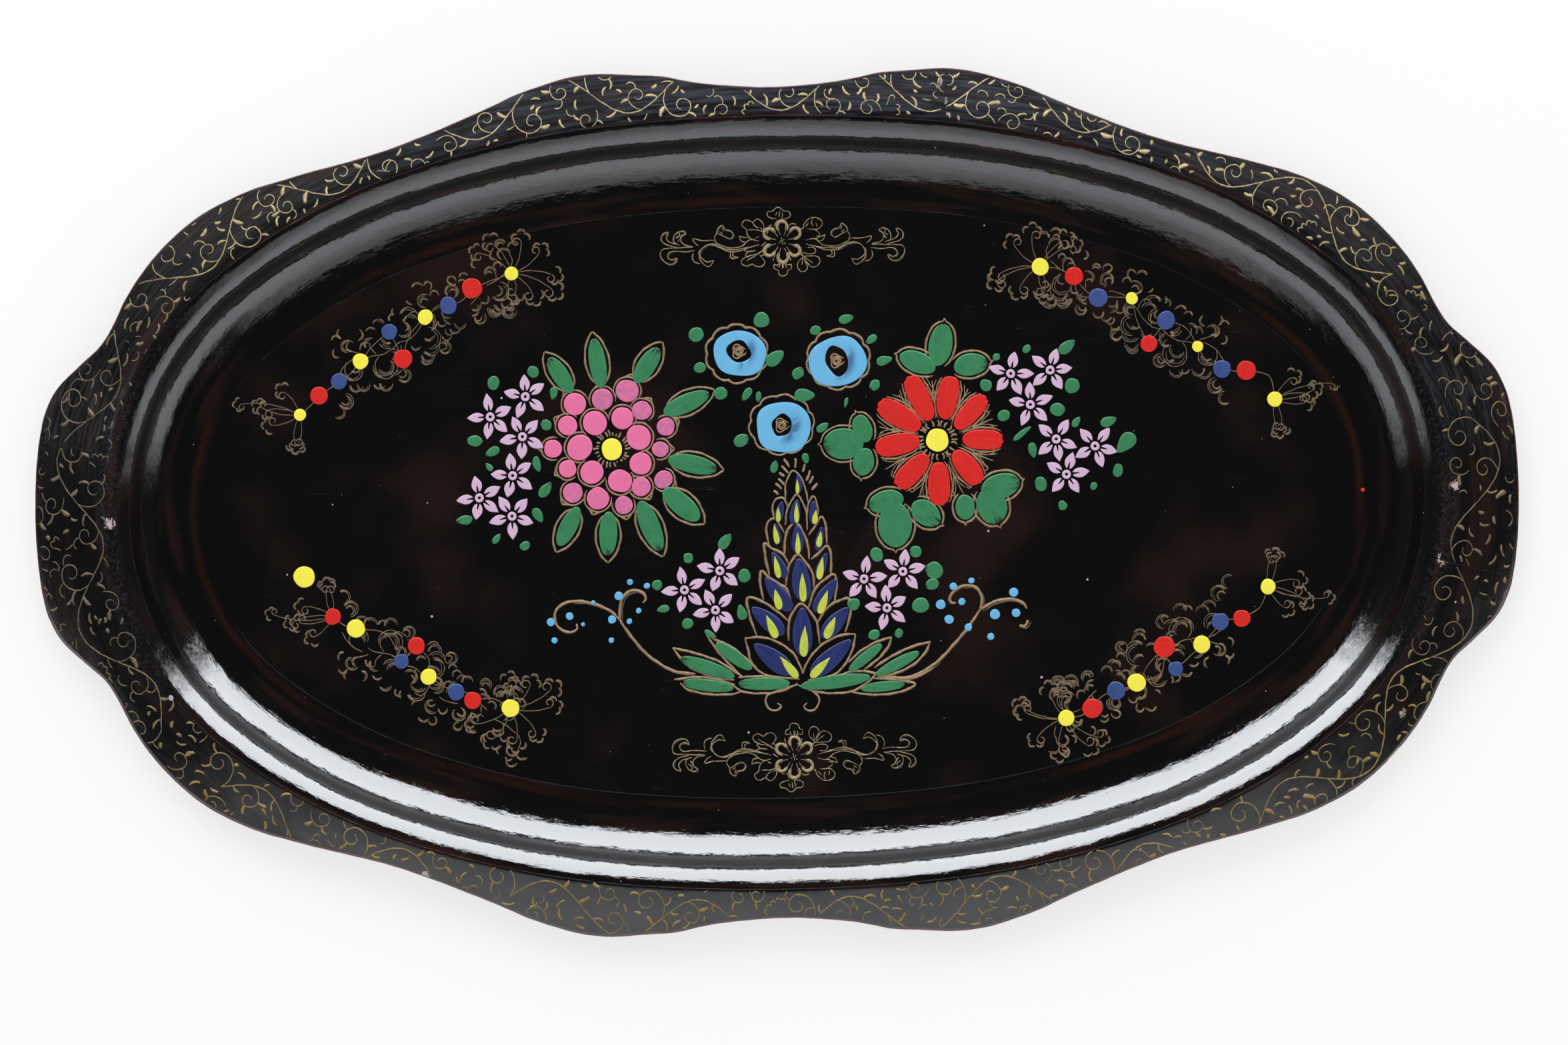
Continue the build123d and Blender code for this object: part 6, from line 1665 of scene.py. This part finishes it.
class Rim:
    def __init__(self):
        self.lines = {name: Lines(on_rim) for name in strip_spans}
        self.rnd = random.Random(90)
        self.cell = 0.5
        self.used = np.zeros((int(LENGTH / self.cell) + 2, 84), bool)

    def cells(self, P):
        i = ((P[:, 0] % LENGTH) / self.cell).astype(int)
        j = np.clip((P[:, 1] / self.cell).astype(int), 0, 83)
        return i, j

    def mark(self, P):
        i, j = self.cells(P)
        for di in (-1, 0, 1):
            for dj in (-1, 0, 1):
                self.used[(i + di) % self.used.shape[0], np.clip(j + dj, 0, 83)] = True

    def crowded(self, P, share):
        i, j = self.cells(P)
        return self.used[i, j].mean() > share

    def room(self, s, d, radius):
        """Nothing drawn yet within radius."""
        k = int(radius / self.cell)
        i = (int((s % LENGTH) / self.cell) + np.arange(-k, k + 1)) % self.used.shape[0]
        j = np.clip(int(d / self.cell) + np.arange(-k, k + 1), 0, 83)
        return not self.used[np.ix_(i, j)].any()

    def stroke(self, pts, width, taper=(0.4, 0.4), swell=0.0, always=False, hand=0.15, tone=1.0):
        P = smooth_path(pts, 0.62)
        s0 = float(P[:, 0].mean())
        base, keep = rim_tone(s0)
        if not always and self.rnd.random() > keep:
            return
        inner = P[3:-1] if len(P) > 8 else P[1:]
        if not always and self.crowded(inner, 0.30):
            return
        self.mark(P)
        tint = base * tone * (0.78 + 0.34 * self.rnd.random())
        run = P[:, 0] % LENGTH
        ok = (P[:, 1] > 1.15) & (P[:, 1] < edge_d(run) - 0.55)
        near = np.min(np.abs((run[:, None] - SEAM_RUNS[None, :] + LENGTH / 2) % LENGTH - LENGTH / 2), axis=1)
        ok &= near > 0.45
        start = None
        for k in range(len(P) + 1):
            if k < len(P) and ok[k]:
                if start is None:
                    start = k
            elif start is not None:
                if k - start >= 4:
                    part = P[start:k]
                    mid = part[len(part) // 2, 0] % LENGTH
                    for name, (a, b, _) in strip_spans.items():
                        if a <= mid < b or a <= mid - LENGTH < b:
                            self.lines[name].add(part, width, tint, taper if k - start > 6 else (0.7, 0.7),
                                                 0.62, 0.045, smooth=False, hand=hand, swell=swell)
                            break
                start = None

    def spiral(self, s, d, head, turn, r0, r1, length):
        """Tendril whose curve tightens; returns its points and headings."""
        n = max(8, int(length / 1.4))
        step = length / n
        pts, heads = [(s, d)], [head]
        for k in range(n):
            u = (k + 0.5) / n
            r = r0 * (r1 / r0) ** u
            head += turn * step / r
            s += step * math.cos(head)
            d += step * math.sin(head)
            pts.append((s, d))
            heads.append(head)
        return pts, heads

    def leaf(self, s, d, head, size, turn, kind):
        """One little leaf: kind 0 crescent pair, 1 filled comma, 2 hook."""
        w = 0.40
        if kind == 1:
            pts, _ = self.spiral(s, d, head, turn, size * 1.6, size * 0.7, size)
            self.stroke(pts, 0.40 + size * 0.13, (0.15, 0.15), 0.7)
            return
        if kind == 2:
            pts, h = self.spiral(s, d, head, turn, size * 0.9, size * 0.35, size * 1.35)
            self.stroke(pts, w, (0.4, 1.0), 0.2)
            self.stroke(pts[-4:], 0.95, (0.3, 0.3), 0.5)
            return
        a, ha = self.spiral(s, d, head + turn * 0.45, -turn, size * 0.95, size * 0.65, size * 1.1)
        b, hb = self.spiral(s, d, head + turn * 0.15, -turn, size * 1.5, size * 0.9, size * 0.95)
        self.stroke(a, 0.62, (0.3, 0.3), 0.55)
        self.stroke(b, w, (0.4, 0.4), 0.3)
        if self.rnd.random() < 0.5:
            m0 = ((a[len(a) // 2][0] + b[len(b) // 2][0]) / 2, (a[len(a) // 2][1] + b[len(b) // 2][1]) / 2)
            self.stroke([b[len(b) // 3], m0, a[-2]], 0.34, (0.4, 0.4))

    def fan(self, s, d, head, size):
        """Scalloped fan flower opening toward head."""
        r = self.rnd
        lobes = 5
        spread = 2.3
        at = []
        for k in range(lobes + 1):
            a = head - spread / 2 + spread * k / lobes
            q = size * (1.0 + 0.08 * math.sin(k * 2.0))
            at.append((s + q * math.cos(a), d + q * math.sin(a), a))
        for k in range(lobes):
            x0, y0, a0 = at[k]
            x1, y1, a1 = at[k + 1]
            am = (a0 + a1) / 2
            bump = size * 0.34
            xm, ym = (x0 + x1) / 2 + bump * math.cos(am), (y0 + y1) / 2 + bump * math.sin(am)
            xa, ya = x0 * 0.72 + xm * 0.28 + 0.30 * bump * math.cos(a0), y0 * 0.72 + ym * 0.28 + 0.30 * bump * math.sin(a0)
            xb, yb = x1 * 0.72 + xm * 0.28 + 0.30 * bump * math.cos(a1), y1 * 0.72 + ym * 0.28 + 0.30 * bump * math.sin(a1)
            self.stroke([(x0, y0), (xa, ya), (xm, ym), (xb, yb), (x1, y1)], 0.42, (0.6, 0.6), 0.2)
        for a in (head - spread / 2, head + spread / 2):
            self.stroke([(s + 0.25 * size * math.cos(a), d + 0.25 * size * math.sin(a)),
                         (s + 0.7 * size * math.cos(a + 0.08), d + 0.7 * size * math.sin(a + 0.08)),
                         (s + size * math.cos(a), d + size * math.sin(a))], 0.42, (0.5, 0.8))
        for k in range(4):
            a = head - 0.62 + 0.41 * k
            q0, q1 = 0.48 * size, (0.80 + 0.08 * r.random()) * size
            self.stroke([(s + q0 * math.cos(a), d + q0 * math.sin(a)),
                         (s + (q0 + q1) / 2 * math.cos(a), d + (q0 + q1) / 2 * math.sin(a)),
                         (s + q1 * math.cos(a), d + q1 * math.sin(a))], 0.42, (0.5, 0.5), 0.4)

    def vine(self, periods, middle, swing, phase, big):
        r = self.rnd
        pitch = LENGTH / periods
        drift = lambda s: 1.4 * math.sin(2 * math.pi * 7 * s / LENGTH + phase)
        line = lambda s: middle + drift(s) + swing * math.sin(2 * math.pi * s / pitch + phase)
        slope = lambda s: math.atan(swing * 2 * math.pi / pitch * math.cos(2 * math.pi * s / pitch + phase))
        # the stem, in lengths of a little over half a period
        n = periods * 2
        for k in range(n):
            s0 = k * pitch / 2 - phase / (2 * math.pi) * pitch
            s1 = s0 + pitch / 2 * 1.02
            pts = [(s, line(s)) for s in np.linspace(s0, s1, 14)]
            self.stroke(pts, 0.50, (0.8, 0.4), 0.15, always=r.random() < 0.6)
            rising = math.cos(2 * math.pi * s0 / pitch + phase) > 0
            sign = 1 if rising else -1
            # main tendril, thrown to the open side of the next bend
            h = slope(s0)
            j = 0.88 + 0.3 * r.random()
            pts, heads = self.spiral(s0, line(s0), h + sign * 0.25, sign, 11.0 * big * j, 1.9 * big, 31.0 * big * j)
            self.stroke(pts, 0.46, (0.8, 0.6), 0.1)
            self.leaf(pts[-1][0], pts[-1][1], heads[-1], 3.2 * big, sign, 1)
            for q in (0.22, 0.42, 0.60, 0.78):
                i = int(q * (len(pts) - 1))
                side = -sign if r.random() < 0.7 else sign
                self.leaf(pts[i][0], pts[i][1], heads[i] + side * (0.9 + 0.5 * r.random()),
                          (3.3 + 2.0 * r.random()) * big, side * (1 if r.random() < 0.5 else -1), r.choice([0, 0, 1, 2]))
            # second, smaller tendril back on the other side
            sb = s0 + pitch * 0.17
            h = slope(sb) - sign * 0.5
            pts, heads = self.spiral(sb, line(sb), h, -sign, 7.5 * big, 1.5 * big, 20.0 * big * j)
            self.stroke(pts, 0.40, (0.8, 0.6), 0.1)
            self.leaf(pts[-1][0], pts[-1][1], heads[-1], 2.8 * big, -sign, r.choice([1, 2]))
            for q in (0.35, 0.65):
                i = int(q * (len(pts) - 1))
                self.leaf(pts[i][0], pts[i][1], heads[i] + sign * (0.9 + 0.4 * r.random()),
                          (3.0 + 1.5 * r.random()) * big, sign, r.choice([0, 1, 2]))
            # fan flower hanging from the bend
            if r.random() < 0.72:
                sf = s0 + pitch * 0.26
                self.fan(sf, line(sf) + sign * 2.2, sign * (math.pi / 2 + 0.5 * (r.random() - 0.5)), (4.6 + r.random()) * big)
            # leaves straight off the stem
            for q in (0.06, 0.34, 0.45):
                sl = s0 + pitch * q
                side = r.choice([-1, 1])
                self.leaf(sl, line(sl), slope(sl) + side * (0.8 + 0.5 * r.random()),
                          (3.2 + 2.2 * r.random()) * big, side, r.choice([0, 0, 1]))
        return line

    def fill(self, count):
        """More tendrils, fans and leaves wherever the vine left room."""
        r = self.rnd
        for k in range(count):
            s = r.random() * LENGTH
            d = 1.5 + r.random() * 34.0
            if d > edge_d(s) + 1.0:
                continue
            h = r.random() * 6.28
            turn = r.choice([-1, 1])
            if k < count * 0.30:
                if self.room(s, d, 3.6):
                    a0 = h - turn * math.pi / 2
                    s0, d0 = s + 5.0 * math.cos(a0), d + 5.0 * math.sin(a0)
                    pts, heads = self.spiral(s0, d0, h, turn, 6.5, 1.5, 21.0)
                    self.stroke(pts, 0.38, (0.6, 0.7), 0.1)
                    self.leaf(pts[-1][0], pts[-1][1], heads[-1], 2.6, turn, 1)
                    for q in (0.2, 0.45, 0.7):
                        i = int(q * (len(pts) - 1))
                        self.leaf(pts[i][0], pts[i][1], heads[i] - turn * 1.1, 3.0 + 1.4 * r.random(), -turn, r.choice([0, 0, 1, 2]))
            elif k < count * 0.42:
                if self.room(s, d, 3.0):
                    self.fan(s - 2.5 * math.cos(h), d - 2.5 * math.sin(h), h, 4.4)
            elif k < count * 0.75:
                if self.room(s, d, 1.9):
                    self.leaf(s - 1.8 * math.cos(h), d - 1.8 * math.sin(h), h, 3.6 + r.random(), turn, r.choice([0, 0, 2]))
            elif self.room(s, d, 1.2):
                self.leaf(s, d, h, 1.9 + r.random(), turn, 1)

    def darts(self, count):
        r = self.rnd
        for _ in range(count):
            s = r.random() * LENGTH
            d = 2.0 + r.random() * 32.0
            if d > edge_d(s) - 1.0:
                continue
            h = r.random() * 6.28
            if r.random() < 0.5:
                self.leaf(s, d, h, 1.9 + 1.2 * r.random(), r.choice([-1, 1]), 1)
            else:
                for k in range(r.choice([2, 3])):
                    self.leaf(s + k * 1.1 * math.cos(h + 1.2), d + k * 1.1 * math.sin(h + 1.2), h + 0.15 * k,
                              1.8 + 0.6 * r.random(), 1, 1)


rim = Rim()
rim.vine(23, 13.0, 9.0, 0.4, 1.0)
rim.fill(9000)
for name, lines in rim.lines.items():
    lines.build("gold_vine_" + name.replace("rim_face_", ""))


# ------------------------------------------------------------ stage, light


def emission_world():
    w = bpy.data.worlds.new("studio")
    bpy.context.scene.world = w
    w.use_nodes = True
    t = w.node_tree
    t.nodes.clear()
    m = Nodes.__new__(Nodes)
    m.t = t
    tc = m.new("ShaderNodeTexCoord")
    sep = m.new("ShaderNodeSeparateXYZ")
    m.put(sep.inputs[0], tc.outputs["Generated"])
    x, y, z = sep.outputs
    off = m.math("ARCCOSINE", m.math("MINIMUM", m.math("MAXIMUM", z, -1.0), 1.0))
    az = m.math("ARCTAN2", x, y)
    aaz = m.math("ABSOLUTE", az)
    soft = m.math("MULTIPLY", m.ramp(off, math.radians(33), math.radians(39)),
                  m.ramp(aaz, math.radians(60), math.radians(44)))
    back = m.math("SUBTRACT", math.pi, aaz)
    steep = m.ramp(off, math.radians(46), math.radians(60))
    reach_az = m.math("ADD",
                      m.math("MULTIPLY", m.math("SUBTRACT", 1.0, steep), m.ramp(back, math.radians(50), math.radians(22))),
                      m.math("MULTIPLY", steep, m.ramp(back, math.radians(86), math.radians(68))))
    card = m.math("MULTIPLY", m.ramp(off, math.radians(20), math.radians(27)), reach_az)
    card_level = m.ramp(off, math.radians(30), math.radians(70), 1.15, 2.25)
    sides = m.math("MULTIPLY", m.ramp(off, math.radians(40), math.radians(75)), 0.035)
    level = m.math("ADD", m.math("MULTIPLY", soft, 13.5), m.math("MULTIPLY", card, card_level))
    level = m.math("ADD", level, sides)
    lp = m.new("ShaderNodeLightPath")
    level = m.math("MULTIPLY", level, m.ramp(lp.outputs["Ray Depth"], 2.2, 2.8, 1.0, 0.30))
    amount = m.mix(lp.outputs["Is Glossy Ray"], (0.80, 0.80, 0.80), m.mix(1.0, m.vec(level, level, level), (0.925, 0.955, 1.0), "MULTIPLY"))
    cam_c = m.mix(lp.outputs["Is Camera Ray"], amount, (0.93, 0.93, 0.93))
    bg = m.new("ShaderNodeBackground")
    m.put(bg.inputs["Color"], cam_c)
    bg.inputs["Strength"].default_value = 1.0
    out = m.new("ShaderNodeOutputWorld")
    t.links.new(bg.outputs[0], out.inputs[0])
    w.cycles.sampling_method = "NONE"


emission_world()

floor_mat = Nodes("backdrop")
tone = floor_mat.noise(floor_mat.pos(), 0.004, 2.0, 0.5)
floor_mat.finish(floor_mat.mix(tone, (0.34, 0.34, 0.342), (0.36, 0.36, 0.362)), 0.9, specular=0.0, flat=False)
glow = [n for n in floor_mat.t.nodes if n.type == "BSDF_PRINCIPLED"][0]
glow.inputs["Emission Color"].default_value = (1.0, 1.0, 1.0, 1.0)
glow.inputs["Emission Strength"].default_value = 0.64
# seen from below the ground is clear, so the underside can be looked at
under = floor_mat.new("ShaderNodeNewGeometry")
clear = floor_mat.new("ShaderNodeBsdfTransparent")
either = floor_mat.new("ShaderNodeMixShader")
last = [n for n in floor_mat.t.nodes if n.type == "OUTPUT_MATERIAL"][0]
floor_mat.t.links.new(under.outputs["Backfacing"], either.inputs[0])
floor_mat.t.links.new(glow.outputs[0], either.inputs[1])
floor_mat.t.links.new(clear.outputs[0], either.inputs[2])
floor_mat.t.links.new(either.outputs[0], last.inputs[0])
bpy.ops.mesh.primitive_plane_add(size=14.0, location=(0, 0, -0.0004))
ground = bpy.context.object
ground.name = "ground"
ground.data.materials.append(floor_mat.mat)


def area(name, location, target, size, power):
    light = bpy.data.lights.new(name, "AREA")
    light.shape = "RECTANGLE"
    light.size, light.size_y = size
    light.energy = power
    ob = bpy.data.objects.new(name, light)
    bpy.context.scene.collection.objects.link(ob)
    ob.location = location
    ob.rotation_euler = (Vector(target) - Vector(location)).to_track_quat("-Z", "Y").to_euler()
    ob.visible_glossy = False
    return ob


area("key", (-0.5, 1.9, 2.0), (0, 0, 0), (2.4, 1.4), 22.0)

cam_data = bpy.data.cameras.new("camera")
cam = bpy.data.objects.new("camera", cam_data)
bpy.context.scene.collection.objects.link(cam)
DIST = 2.2
roll = math.radians(0.985)
# the tray's centre sits a little left of and above the picture's centre
px_mm = 0.26
ox, oy = (1176 - 1165.5) * px_mm / 1000, -(784 - 753.8) * px_mm / 1000
right = (math.cos(roll), -math.sin(roll))
up = (math.sin(roll), math.cos(roll))
cx = ox * right[0] + oy * up[0]
cy = ox * right[1] + oy * up[1]
cam.location = (cx, cy, DIST + 0.016)
cam.rotation_euler = (0, 0, -roll)
cam_data.sensor_width = 36.0
cam_data.lens = 36.0 * DIST / (2352 * px_mm / 1000)
cam_data.clip_start, cam_data.clip_end = 0.1, 50.0
bpy.context.scene.camera = cam
sc = bpy.context.scene
sc.view_settings.view_transform = "Standard"
sc.view_settings.look = "None"
sc.view_settings.exposure = 0.0
